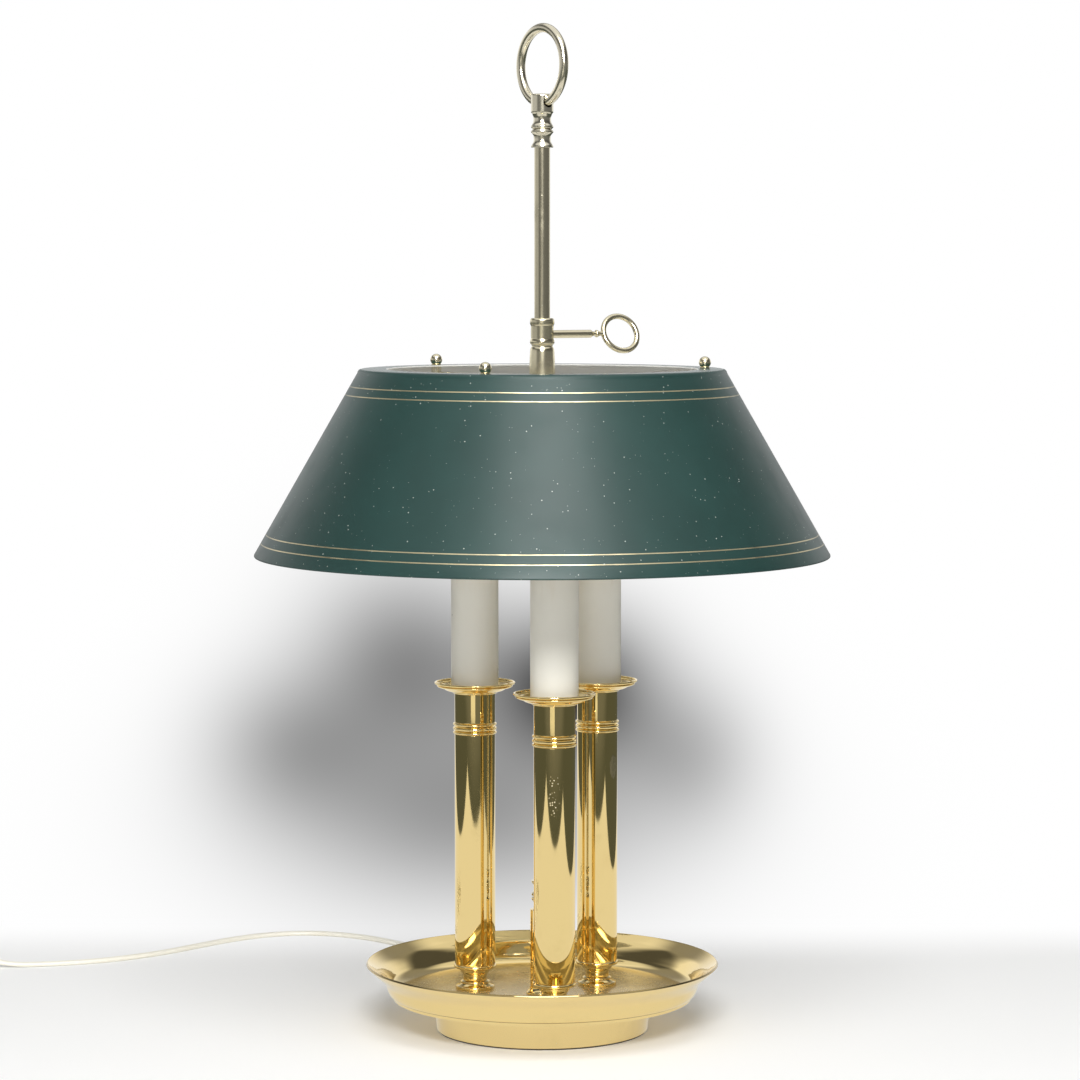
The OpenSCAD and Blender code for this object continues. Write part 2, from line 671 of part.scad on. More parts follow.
module shade_key() {
    color("goldenrod") translate([0, 0, key_z]) rotate([0, 0, key_turn_at]) {
        rotate([0, 90, 0]) turned([
            [0, key_tip], [key_r - 0.4, key_tip], [key_r, key_tip + 0.6], [key_r, key_l - 0.6], [key_r - 0.7, key_l],
            [key_r - 1.2, key_l + 1.2], [key_r - 0.9, key_l + 2.2], [key_r - 0.2, key_l + 3.2], [key_r - 0.2, key_l + 3.8],
            [key_r - 0.9, key_l + 4.8], [key_r - 1.1, key_l + 5.8], [key_r - 1, key_eye + 1], [0, key_eye + 1]
        ]);
        translate([key_ring_x, 0, 0]) rotate([90 - key_lean, 0, 0])
            rotate_extrude() translate([key_ring_r, 0]) circle(r = key_wire_r, $fn = 32);
    }
}

// ---- Cord, switch and plug ----

module supply_cord() {
    color("ivory") cord(finer(run_a), section(cord_w, cord_t, 8));
}

module switch_cord() {
    color("ivory") cord(finer(run_b), section(cord_w, cord_t, 8));
}

// The coil: in on the lower layer, up in the half turn where it reverses, out on the upper.
function coil_radius(q) = coil_r - coil_step * (coil_turns / 2 - abs(q - coil_turns / 2));
function coil_climb(q) = let (x = min(max((q - coil_turns / 2) / 0.34 + 0.5, 0), 1)) x * x * (3 - 2 * x);
coil_last = coil_turns * coil_rings;
coil_route = [
    [coil_at[0] - coil_r, coil_at[1] + 14, coil_low, 90],
    [coil_at[0] - coil_r, coil_at[1] + 7, coil_low, 90],
    for (k = [0:coil_last]) let (q = k / coil_rings, a = 180 + 360 * q)
        [coil_at[0] + coil_radius(q) * cos(a), coil_at[1] + coil_radius(q) * sin(a), coil_low + (cord_w + coil_gap_z) * coil_climb(q), 90],
    for (k = [1:6]) [coil_at[0] - coil_r, coil_at[1] - plug_lead * k / 6,
        plug_t / 2 + (coil_low + cord_w + coil_gap_z - plug_t / 2) * (1 + cos(60 * min(max(k - 2, 0), 3))) / 2, 90]
];
coil_section = section(cord_w, cord_t, 6);

// The least distance between skin points a third of a turn or more apart.
function coil_gap() = let (skin = [for (i = [0:len(coil_route) - 1]) cord_ring(coil_route, i, coil_section)])
    min([for (i = [0:len(skin) - 9]) for (j = [i + 8:len(skin) - 1]) for (p = skin[i], q = skin[j]) norm(p - q)]);

module cord_coil() {
    echo(least_gap_in_the_coil = coil_gap());
    color("ivory") cord(coil_route, coil_section);
}

module switch_at() {
    translate([switch_x - switch_l / 2, switch_y, 0]) children();
}

// The switch's case from above, with round ends.
module switch_outline(grow) {
    hull() for (s = [-1, 1]) translate([s * (switch_l / 2 - switch_w / 2), 0])
        circle(r = switch_w / 2 + grow, $fn = 64);
}

module switch_lower() {
    color("ivory") switch_at() difference() {
        linear_extrude(height = switch_split) switch_outline(0);
        translate([0, 0, 2]) linear_extrude(height = switch_split) switch_outline(-2);
    }
}

module switch_upper() {
    hole = [rocker_l + 0.8, rocker_w + 0.8];
    color("ivory") switch_at() difference() {
        union() {
            difference() {
                translate([0, 0, switch_split]) linear_extrude(height = switch_h - switch_split) switch_outline(0);
                translate([0, 0, switch_split - 1]) linear_extrude(height = switch_h - switch_split - 1) switch_outline(-2);
            }
            for (s = [-1, 1]) translate([-3, s * (hole[1] / 2 + 1) - 1, rocker_z - 3]) cube([6, 2, switch_h - rocker_z + 2]);
        }
        translate([-hole[0] / 2, -hole[1] / 2, switch_split]) cube([hole[0], hole[1], switch_h]);
        translate([0, hole[1] / 2 + 3, rocker_z]) rotate([90, 0, 0]) cylinder(r = rocker_pin_r + fit, h = hole[1] + 6);
    }
}

module switch_rocker() {
    half = rocker_l / 2;
    tilt = rocker_swing / 2;
    color("ivory") switch_at() translate([0, 0, rocker_z]) rotate([0, tilt, 0]) {
        rotate([90, 0, 0]) translate([0, 0, -rocker_w / 2]) linear_extrude(height = rocker_w)
            polygon([[0.3 - half, 3.6], [0, 2.8], [half - 0.3, 3.6], [half - 0.6, 0], [rocker_hub_r, -3], [-rocker_hub_r, -3], [0.6 - half, 0]]);
        rotate([90, 0, 0]) translate([0, 0, -rocker_w / 2 - 1.6]) cylinder(r = rocker_pin_r, h = rocker_w + 3.2);
    }
}

// The plug's own frame: its pins point along +X, its cord comes in at the origin.
module at_plug() {
    translate([coil_at[0] - coil_r, coil_at[1] - plug_lead, plug_t / 2]) rotate([0, 0, -90]) children();
}

module plug_body() {
    color("ivory") at_plug() difference() {
        union() {
            rotate([0, 90, 0]) cylinder(r1 = cord_w / 2 + 1, r2 = plug_t / 2 - 1, h = plug_relief);
            translate([plug_relief, 0, -plug_t / 2]) linear_extrude(height = plug_t) polygon([
                [-2, -5], [plug_l * 0.45, -plug_w / 2], [plug_l - 3, -plug_w / 2], [plug_l, -plug_w / 2 + 3],
                [plug_l, plug_w / 2 - 3], [plug_l - 3, plug_w / 2], [plug_l * 0.45, plug_w / 2], [-2, 5]
            ]);
        }
        for (s = [-1, 1]) translate([plug_relief + plug_l - 6, s * pin_pitch / 2, 0]) rotate([0, 90, 0]) cylinder(r = pin_stub_r + fit, h = 8);
    }
}

module plug_pins() {
    color("silver") at_plug() for (s = [-1, 1]) translate([plug_relief + plug_l - 6, s * pin_pitch / 2, 0]) rotate([0, 90, 0]) union() {
        cylinder(r = pin_stub_r, h = 7);
        translate([0, 0, 6]) cylinder(r = pin_r, h = pin_l - 2);
        translate([0, 0, pin_l + 4]) cylinder(r1 = pin_r, r2 = pin_r - 0.8, h = 2);
    }
}

felt_pad();
foot_ring();
base_weight();
base_dish();
cord_grommet();
inner_lead();
terminal_block();
base_nuts();
for (i = columns) {
    pedestal(i);
    column_tube(i);
    column_beads(i);
    column_cup(i);
    drip_pan(i);
    tie_tube(i);
    inner_wire(i);
    lampholder(i);
    candle_sleeve(i);
    lamp_cap(i);
    lamp_glass(i);
}
centre_post();
post_collar();
rod();
finial();
finial_ring();
shade_shell();
shade_spider();
ball_nuts();
shade_sleeve();
hub_nut();
shade_key();
supply_cord();
switch_lower();
switch_upper();
switch_rocker();
switch_cord();
cord_coil();
plug_body();
plug_pins();
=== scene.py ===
"""Looks of a bouillotte lamp: brass columns on a dish, and a painted shade on a rod.

Every length in the classes is in millimetres, in the lamp's own frame: the rod's axis
at table level, +Z up, and the front of the lamp towards -Y. Meshes are in metres.
"""

import logging
import math
from collections.abc import Iterable, Sequence
from dataclasses import dataclass, replace
from enum import Enum
from typing import Any

import bmesh
import bpy
from mathutils import Matrix, Vector, noise


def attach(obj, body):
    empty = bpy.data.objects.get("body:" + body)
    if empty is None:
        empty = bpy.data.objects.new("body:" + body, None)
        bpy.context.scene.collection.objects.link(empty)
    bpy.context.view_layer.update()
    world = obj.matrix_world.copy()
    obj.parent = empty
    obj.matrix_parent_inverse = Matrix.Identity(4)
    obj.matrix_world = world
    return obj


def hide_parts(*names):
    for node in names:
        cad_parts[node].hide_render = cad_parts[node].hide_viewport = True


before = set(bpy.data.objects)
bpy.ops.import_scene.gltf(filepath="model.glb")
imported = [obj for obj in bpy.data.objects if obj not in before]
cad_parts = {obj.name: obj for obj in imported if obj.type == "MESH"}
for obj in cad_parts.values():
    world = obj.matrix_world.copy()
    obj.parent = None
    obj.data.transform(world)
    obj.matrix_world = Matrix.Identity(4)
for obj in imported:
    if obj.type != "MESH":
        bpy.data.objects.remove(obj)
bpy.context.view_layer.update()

MM = 0.001
CREASE = 38.0
Point = tuple[float, ...]
Outline = list[Point]
Colour = tuple[float, float, float]
Thing = bpy.types.Object

log = logging.getLogger("lamp")


class Body(str, Enum):
    """The moving bodies of the lamp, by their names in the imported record."""

    LAMP = "lamp"
    SLIDER = "shade_slider"
    SHADE = "shade"
    KEY = "key"
    ROCKER = "rocker"


class Axis(Enum):
    """Axes that an upright piece can be laid along, as the turn (about, degrees) to them."""

    X = ("Y", 90)
    Y = ("X", -90)

    def lay(self) -> Matrix:
        """The turn from upright to this axis."""
        about, degrees = self.value
        return turn(about, degrees)


# ---- Outlines and meshes ----


def turn(about: str, degrees: float) -> Matrix:
    """A turn about an axis through the origin."""
    return Matrix.Rotation(math.radians(degrees), 4, about)


def shift(x: float, y: float, z: float) -> Matrix:
    """A move, in millimetres."""
    return Matrix.Translation((x, y, z))


def softened(points: Sequence[Point], steps: int = 5, closed: bool = True) -> Outline:
    """Rounds the corners of an outline.

    Args:
        points: (radius, height) or (radius, height, reach), where reach is how far from
            the corner its curve starts.
        steps: pieces in each rounded corner.
        closed: whether the last point joins the first one.

    Returns:
        The outline's points, with each rounded corner as a short curve.
    """
    out: Outline = []
    n = len(points)
    for i, p in enumerate(points):
        here = Vector(p[:2])
        reach = p[2] if len(p) > 2 else 0.0
        if not reach or (not closed and i in (0, n - 1)):
            out.append((here.x, here.y))
            continue
        before, after = Vector(points[i - 1][:2]), Vector(points[(i + 1) % n][:2])
        back, on = before - here, after - here
        start = here + back.normalized() * min(reach, back.length * 0.49)
        end = here + on.normalized() * min(reach, on.length * 0.49)
        for k in range(steps + 1):
            t = k / steps
            q = start * (1 - t) ** 2 + here * 2 * t * (1 - t) + end * t * t
            out.append((q.x, q.y))
    return out


def bead(x: float, z: float, r: float, a: float = -90, b: float = 90, n: int = 10) -> Outline:
    """Points of a bead: an arc of radius r about (x, z), from angle a to angle b."""
    angles = [math.radians(a + (b - a) * k / n) for k in range(n + 1)]
    return [(x + r * math.cos(t), z + r * math.sin(t)) for t in angles]


def smooth_way(points: Sequence[Point], between: int = 6) -> list[Point]:
    """Draws a smooth curve through points of any length.

    Args:
        points: the points it passes.
        between: pieces between two points.

    Returns:
        Points along the curve, ends included.
    """
    p = [Vector(q) for q in points]
    p = [p[0] * 2 - p[1], *p, p[-1] * 2 - p[-2]]
    out: list[Point] = []
    for i in range(1, len(p) - 2):
        a, b, c, d = p[i - 1 : i + 3]
        for k in range(between):
            t = k / between
            bend = (a * 2 - b * 5 + c * 4 - d) * t * t + (b * 3 - a - c * 3 + d) * t**3
            out.append(tuple((b * 2 + (c - a) * t + bend) / 2))
    out.append(tuple(p[-2]))
    return out


def placed(name: str, data: bpy.types.ID) -> Thing:
    """Makes an object and links it to the scene.

    Args:
        name: the object's name.
        data: its mesh, lamp or camera.

    Returns:
        The object.
    """
    made = bpy.data.objects.new(name, data)
    bpy.context.scene.collection.objects.link(made)
    return made


def smoothed(mesh: bpy.types.Mesh, crease: float) -> None:
    """Shades a mesh smooth, with edges that turn by more than `crease` degrees left sharp."""
    mesh.shade_smooth()
    mesh.set_sharp_from_angle(angle=math.radians(crease))


def mesh_piece(
    name: str, verts: Iterable[Point], faces: Iterable[Sequence[int]], crease: float = CREASE
) -> Thing:
    """Makes a smooth-shaded object from points in millimetres.

    Args:
        name: the piece's name.
        verts: points in millimetres.
        faces: point numbers of each face.
        crease: edges that turn by more degrees than this stay sharp.

    Returns:
        The new object, linked to the scene.
    """
    mesh = bpy.data.meshes.new(name)
    mesh.from_pydata([[c * MM for c in v] for v in verts], [], [list(f) for f in faces])
    mesh.validate()
    skin = bmesh.new()
    skin.from_mesh(mesh)
    bmesh.ops.recalc_face_normals(skin, faces=skin.faces)
    skin.to_mesh(mesh)
    skin.free()
    smoothed(mesh, crease)
    return placed(name, mesh)


def quads(rows: int, sides: int, looped: bool = False) -> list[list[int]]:
    """Faces that join rows of points to each other.

    Args:
        rows: how many rows there are.
        sides: points in each row, which is a closed outline.
        looped: whether the last row joins the first one.

    Returns:
        Point numbers of each face.
    """
    return [
        [i * sides + k, i * sides + (k + 1) % sides, j * sides + (k + 1) % sides, j * sides + k]
        for i, j in ((i, (i + 1) % rows) for i in range(rows if looped else rows - 1))
        for k in range(sides)
    ]


def stacked(name: str, levels: Sequence[Sequence[Point]], crease: float = CREASE) -> Thing:
    """Skins closed outlines, one after the other, and closes both ends.

    Args:
        name: the piece's name.
        levels: the outlines, with as many points in each.
        crease: edges sharper than this many degrees stay sharp.

    Returns:
        The piece.
    """
    n, last = len(levels[0]), (len(levels) - 1) * len(levels[0])
    faces = [*quads(len(levels), n), list(range(n)), list(range(last, last + n))]
    return mesh_piece(name, [p for level in levels for p in level], faces, crease)


def braced(outline: Sequence[Point], closed: bool) -> Outline:
    """Adds points near the ends of an outline's long straight runs, to keep their shading straight.

    Args:
        outline: (radius, height) points in order.
        closed: whether the last point joins the first one.

    Returns:
        The points with the added ones.
    """
    long_run, from_end = 4.0, 0.3
    out: Outline = []
    for i, (r, z) in enumerate(outline):
        out.append((r, z))
        if i + 1 == len(outline) and not closed:
            break
        to_r, to_z = outline[(i + 1) % len(outline)]
        length = math.dist((r, z), (to_r, to_z))
        if length > long_run:
            shares = (from_end / length, 1 - from_end / length)
            out += [(r + (to_r - r) * t, z + (to_z - z) * t) for t in shares]
    return out


def lathe(
    name: str,
    outline: Sequence[Point],
    at: Point = (0, 0),
    around: int = 160,
    closed: bool = True,
    crease: float = CREASE,
    brace: bool = True,
) -> Thing:
    """Turns an outline of (radius, height) points about an upright axis.

    Args:
        name: the piece's name.
        outline: points in order, where a radius of 0 lies on the axis.
        at: the axis, seen from above.
        around: sides of the turned piece.
        closed: whether the outline's last point joins its first one.
        crease: edges sharper than this many degrees stay sharp.
        brace: whether the outline's long straight runs get points close to their ends.

    Returns:
        The turned piece.
    """
    on_axis = 1e-6
    verts: list[Point] = []
    rings: list[list[int]] = []
    for r, z in braced(outline, closed) if brace else outline:
        sides = 1 if r < on_axis else around
        rings.append(list(range(len(verts), len(verts) + sides)))
        for k in range(sides):
            a = 2 * math.pi * k / around
            verts.append((at[0] + r * math.cos(a), at[1] + r * math.sin(a), z))
    faces: list[list[int]] = []
    for i in range(len(rings) if closed else len(rings) - 1):
        low, high = rings[i], rings[(i + 1) % len(rings)]
        if len(low) == 1 and len(high) == 1:
            continue
        for k in range(around):
            m = (k + 1) % around
            quad = [low[k % len(low)], low[m % len(low)], high[m % len(high)], high[k % len(high)]]
            faces.append(list(dict.fromkeys(quad)))
    return mesh_piece(name, verts, faces, crease)


def ring_of_wire(
    name: str, radius: float, wire: float, place: Matrix, around: int = 144, sides: int = 32
) -> Thing:
    """Makes a ring of round wire, in the XY plane of `place`.

    Args:
        name: the piece's name.
        radius: from the ring's centre to the middle of its wire.
        wire: the wire's radius.
        place: where the ring's centre and plane go, in millimetres.
        around: pieces along the ring.
        sides: sides of the wire.

    Returns:
        The ring.
    """
    verts = []
    for i in range(around):
        a = 2 * math.pi * i / around
        for k in range(sides):
            b = 2 * math.pi * k / sides
            r = radius + wire * math.cos(b)
            verts.append(place @ Vector((r * math.cos(a), r * math.sin(a), wire * math.sin(b))))
    return mesh_piece(name, verts, quads(around, sides, True))


def sweep(name: str, way: Sequence[Point], section: Sequence[Point]) -> Thing:
    """Draws a section along a way, as a closed tube.

    Args:
        name: the piece's name.
        way: points of (x, y, z, turn), where turn rolls the section, in degrees.
        section: (across, up) points of the section's outline.

    Returns:
        The tube.
    """
    levels = []
    for i, p in enumerate(way):
        here = Vector(p[:3])
        along = (Vector(way[min(i + 1, len(way) - 1)][:3]) - Vector(way[max(i - 1, 0)][:3])).normalized()
        side = along.cross(Vector((0, 0, 1))).normalized()
        top = side.cross(along)
        c, s = math.cos(math.radians(p[3])), math.sin(math.radians(p[3]))
        levels.append([here + (u * c - v * s) * side + (u * s + v * c) * top for u, v in section])
    return stacked(name, levels)


def block(name: str, low: Point, high: Point) -> Thing:
    """Makes a plain block, for cutting with.

    Args:
        name: the block's name.
        low: its lowest corner.
        high: its highest corner.

    Returns:
        The block.
    """
    x, y, z = zip(low, high)
    level = [(x[0], y[0]), (x[1], y[0]), (x[1], y[1]), (x[0], y[1])]
    return stacked(name, [[(*p, h) for p in level] for h in z])


def rod(name: str, radius: float, low: float, high: float, at: Point = (0, 0), around: int = 48) -> Thing:
    """A plain upright rod, most often for cutting with."""
    return lathe(name, [(0, low), (radius, low), (radius, high), (0, high)], at, around, closed=False)


def moved(piece: Thing, place: Matrix) -> Thing:
    """Moves a piece's points.

    Args:
        piece: the piece.
        place: where they go, with lengths in millimetres.

    Returns:
        The piece.
    """
    place = place.copy()
    place.translation *= MM
    piece.data.transform(place)
    return piece


def cut(piece: Thing, *cutters: Thing) -> Thing:
    """Cuts other pieces out of a piece and clears them away.

    Args:
        piece: the piece that is cut.
        cutters: closed pieces whose space is taken away.

    Returns:
        The cut piece.
    """
    for cutter in cutters:
        step = piece.modifiers.new("cut", "BOOLEAN")
        step.operation, step.object, step.solver = "DIFFERENCE", cutter, "EXACT"
    bpy.context.view_layer.update()
    done = piece.evaluated_get(bpy.context.evaluated_depsgraph_get())
    mesh = bpy.data.meshes.new_from_object(done)
    piece.modifiers.clear()
    piece.data = mesh
    smoothed(mesh, CREASE)
    for cutter in cutters:
        bpy.data.objects.remove(cutter)
    return piece


def joined(name: str, *pieces: Thing) -> Thing:
    """Joins pieces that lie on or in each other into one.

    Args:
        name: the whole piece's name.
        pieces: what it is made of.

    Returns:
        The whole piece.
    """
    mesh = bpy.data.meshes.new(name)
    whole = bmesh.new()
    for piece in pieces:
        whole.from_mesh(piece.data)
        bpy.data.objects.remove(piece)
    whole.to_mesh(mesh)
    whole.free()
    return placed(name, mesh)


# ---- Shader maths ----


class Wire:
    """A value on its way through a material: one output socket."""

    def __init__(self, desk: "Desk", source: Any) -> None:
        """Keeps the socket and the desk it belongs to."""
        self.desk = desk
        self.source = source

    def _with(self, operation: str, *others: Any) -> "Wire":
        """Adds a Math node on this value and the others."""
        return self.desk.maths(operation, self, *others)

    def __add__(self, other: Any) -> "Wire":
        """Sum."""
        return self._with("ADD", other)

    def __sub__(self, other: Any) -> "Wire":
        """Difference."""
        return self._with("SUBTRACT", other)

    def __rsub__(self, other: Any) -> "Wire":
        """Difference from a plain number."""
        return self.desk.maths("SUBTRACT", other, self)

    def __mul__(self, other: Any) -> "Wire":
        """Product."""
        return self._with("MULTIPLY", other)

    def __truediv__(self, other: Any) -> "Wire":
        """Quotient."""
        return self._with("DIVIDE", other)

    def __rtruediv__(self, other: Any) -> "Wire":
        """A plain number divided by this value."""
        return self.desk.maths("DIVIDE", other, self)

    def __pow__(self, other: Any) -> "Wire":
        """Power."""
        return self._with("POWER", other)

    __radd__ = __add__
    __rmul__ = __mul__

    def output(self, name: Any) -> "Wire":
        """Another output of the node that this value comes from."""
        return Wire(self.desk, self.source.node.outputs[name])

    def far_from(self, other: Any) -> "Wire":
        """Distance from another value."""
        return (self - other)._with("ABSOLUTE")

    def falling(self) -> "Wire":
        """1 at 0, and falling along a bell as the value grows."""
        return (self * -1.0)._with("EXPONENT")

    def larger(self, other: Any) -> "Wire":
        """The larger of two values."""
        return self._with("MAXIMUM", other)

    def smaller(self, other: Any) -> "Wire":
        """The smaller of two values."""
        return self._with("MINIMUM", other)

    def over(self, low: float, high: float) -> "Wire":
        """Rises smoothly from 0 at `low` to 1 at `high`, or falls where `low` is higher."""
        settings = {"interpolation_type": "SMOOTHSTEP", "clamp": True}
        ends = {1: low, 2: high, 3: 0.0, 4: 1.0} if low < high else {1: high, 2: low, 3: 1.0, 4: 0.0}
        return self.desk.node("ShaderNodeMapRange", settings, {0: self, **ends})


class Desk:
    """Builds the nodes of one material or of the world."""

    def __init__(self, tree: bpy.types.NodeTree) -> None:
        """Clears the tree, ready for its nodes."""
        self.tree = tree
        tree.nodes.clear()

    def node(
        self,
        kind: str,
        settings: dict[str, Any] | None = None,
        inputs: dict[Any, Any] | None = None,
        out: Any = 0,
    ) -> Wire:
        """Adds one node.

        Args:
            kind: Blender's name of the node's type.
            settings: attributes, which are set before the sockets.
            inputs: values or Wires by socket name or number.
            out: the output that is returned.

        Returns:
            That output.
        """
        made = self.tree.nodes.new(kind)
        for key, value in (settings or {}).items():
            setattr(made, key, value)
        for key, value in (inputs or {}).items():
            socket = made.inputs[key]
            if isinstance(value, Wire):
                self.tree.links.new(value.source, socket)
            elif hasattr(socket.default_value, "__len__"):
                size = len(socket.default_value)
                socket.default_value = (*value, 1.0)[:size]
            else:
                socket.default_value = value
        return Wire(self, made.outputs[out] if made.outputs else None)

    def maths(self, operation: str, *values: Any) -> Wire:
        """Adds a Math node on values in order."""
        return self.node("ShaderNodeMath", {"operation": operation}, dict(enumerate(values)))

    def place(self) -> Wire:
        """The point in the lamp's frame, in metres."""
        return self.node("ShaderNodeTexCoord", out="Object")

    def axes(self, at: Wire, unit: float = MM) -> tuple[Wire, Wire, Wire]:
        """The three parts of a vector in metres, in millimetres or in another unit."""
        apart = self.node("ShaderNodeSeparateXYZ", inputs={0: at})
        return tuple(apart.output(i) * (1 / unit) for i in range(3))

    def stretched(self, at: Wire, by: Sequence[float]) -> Wire:
        """The same place with each axis scaled."""
        return self.node("ShaderNodeVectorMath", {"operation": "MULTIPLY"}, {0: at, 1: by})

    def cloud(self, at: Wire, size: float, detail: float = 3.0, rough: float = 0.55) -> Wire:
        """Soft noise from 0 to 1, whose lumps are about `size` millimetres."""
        inputs = {"Vector": at, "Scale": 1000.0 / size, "Detail": detail, "Roughness": rough}
        return self.node("ShaderNodeTexNoise", inputs=inputs)

    def specks(self, at: Wire, spacing: float, radius: float, share: float) -> Wire:
        """Small round spots.

        Args:
            at: the place.
            spacing: millimetres from one possible spot to the next.
            radius: a spot's radius in millimetres.
            share: how many of the possible spots there are, from 0 to 1.

        Returns:
            1 on a spot and 0 elsewhere.
        """
        inputs = {"Vector": at, "Scale": 1000.0 / spacing}
        cell = self.node("ShaderNodeTexVoronoi", {"feature": "F1"}, inputs)
        near = cell.output("Distance").over(radius * 1.3 / spacing, radius * 0.7 / spacing)
        lot = self.node("ShaderNodeSeparateColor", inputs={0: cell.output("Color")})
        return near * lot.over(1.0 - share, 1.0 - share + 0.01)

    def near(self, at: Wire, centre: Point, reach: Point) -> Wire:
        """1 at a point in millimetres, and falling along a bell of `reach` on each axis."""
        parts = [(axis - c) / r for axis, c, r in zip(self.axes(at), centre, reach)]
        return (parts[0] * parts[0] + parts[1] * parts[1] + parts[2] * parts[2]).falling()

    def mix(self, share: Any, first: Any, second: Any) -> Wire:
        """A colour between two, by share."""
        return self.node("ShaderNodeMix", {"data_type": "RGBA"}, {0: share, 6: first, 7: second}, out=2)

    def bump(self, height: Wire, distance: float, strength: float = 1.0) -> Wire:
        """Turns a height from 0 to 1, over `distance` millimetres, into a normal."""
        inputs = {"Strength": strength, "Distance": distance * MM, "Height": height}
        return self.node("ShaderNodeBump", inputs=inputs)

    def surface(self, shader: Wire) -> None:
        """Makes a shader the material's surface."""
        self.node("ShaderNodeOutputMaterial", inputs={"Surface": shader})

    def skin(self, **sockets: Any) -> None:
        """Makes a Principled shader the surface, from sockets named with _ for a space."""
        inputs = {name.replace("_", " "): value for name, value in sockets.items()}
        self.surface(self.node("ShaderNodeBsdfPrincipled", inputs=inputs))

    def glow(self, colour: Any, strength: float = 1.0) -> Wire:
        """A shader that gives off a colour."""
        return self.node("ShaderNodeEmission", inputs={"Color": colour, "Strength": strength})

    def either(self, share: Wire, first: Wire, second: Wire) -> Wire:
        """A shader between two, by share."""
        return self.node("ShaderNodeMixShader", inputs={0: share, 1: first, 2: second})


# ---- Finishes ----


@dataclass(frozen=True)
class Finish:
    """One finish of the lamp. Subclasses say how it is made.

    Args:
        name: the material's name.
        slot: the record's material slot it belongs to.
    """

    name: str
    slot: str

    def made(self) -> bpy.types.Material:
        """Returns the finish's material, which is made once."""
        found = bpy.data.materials.get(self.name)
        if found is None:
            found = bpy.data.materials.new(self.name)
            found.use_nodes = True
            self.mix_up(Desk(found.node_tree))
        return found

    def mix_up(self, desk: Desk) -> None:
        """Builds the nodes."""
        raise NotImplementedError


@dataclass(frozen=True)
class Brass(Finish):
    """Polished brass with faint smears, a little tarnish and a few specks.

    Args:
        tint: colour of clean metal.
        dull: colour where it has tarnished.
        rough: roughness of clean metal.
        smear: how much rougher a finger mark is.
        tarnish: how much of the metal has tarnished, from 0 to 1.
        pits: how many of the specks there are, from 0 to 1.
        drawn: whether fine lines run up the piece.
        wave: how uneven the polish has left it.
        spots: (x, y, z) in the middle of some dried drops, if it has any.
        smudge: (x, y, z) in the middle of a dull mark, if it has one.
    """

    tint: Colour = (0.88, 0.69, 0.32)
    dull: Colour = (0.6, 0.43, 0.16)
    rough: float = 0.045
    smear: float = 0.07
    tarnish: float = 0.25
    pits: float = 0.05
    drawn: bool = False
    wave: float = 0.6
    spots: Point | None = None
    smudge: Point | None = None

    def mix_up(self, desk: Desk) -> None:
        """Builds the nodes."""
        at = desk.place()
        marks = desk.cloud(at, 14, 4).over(0.52, 0.78)
        film = desk.cloud(at, 38, 5, 0.65).over(0.5, 0.85)
        pits = desk.specks(at, 2.2, 0.2, self.pits)
        if self.spots:
            drops = desk.specks(at, 1.7, 0.42, 0.9)
            pits = pits.larger(drops * desk.near(at, self.spots, (3.5, 4, 15)).over(0.25, 0.6))
        fine = desk.cloud(desk.stretched(at, (1, 1, 0.06 if self.drawn else 1)), 0.5, 2)
        wave = desk.cloud(desk.stretched(at, (1, 1, 0.35)), 24, 2)
        colour = desk.mix(film * self.tarnish, self.tint, self.dull)
        colour = desk.mix(pits * 0.7, colour, (0.9, 0.85, 0.68))
        if self.smudge:
            torn = desk.cloud(at, 1.6, 4, 0.7) * 0.5 - 0.25
            dull = (desk.near(at, self.smudge, (3, 4, 8)) + torn).over(0.3, 0.5)
            colour = desk.mix(dull * 0.7, colour, (0.62, 0.54, 0.36))
            marks = marks + dull * 4.5
        desk.skin(
            Base_Color=colour,
            Metallic=1.0,
            Roughness=marks * self.smear + fine * (0.03 if self.drawn else 0.012) + pits * 0.4 + self.rough,
            Normal=desk.bump(wave * self.wave + fine * 0.004 + pits * 0.4, 0.05, 0.55),
        )


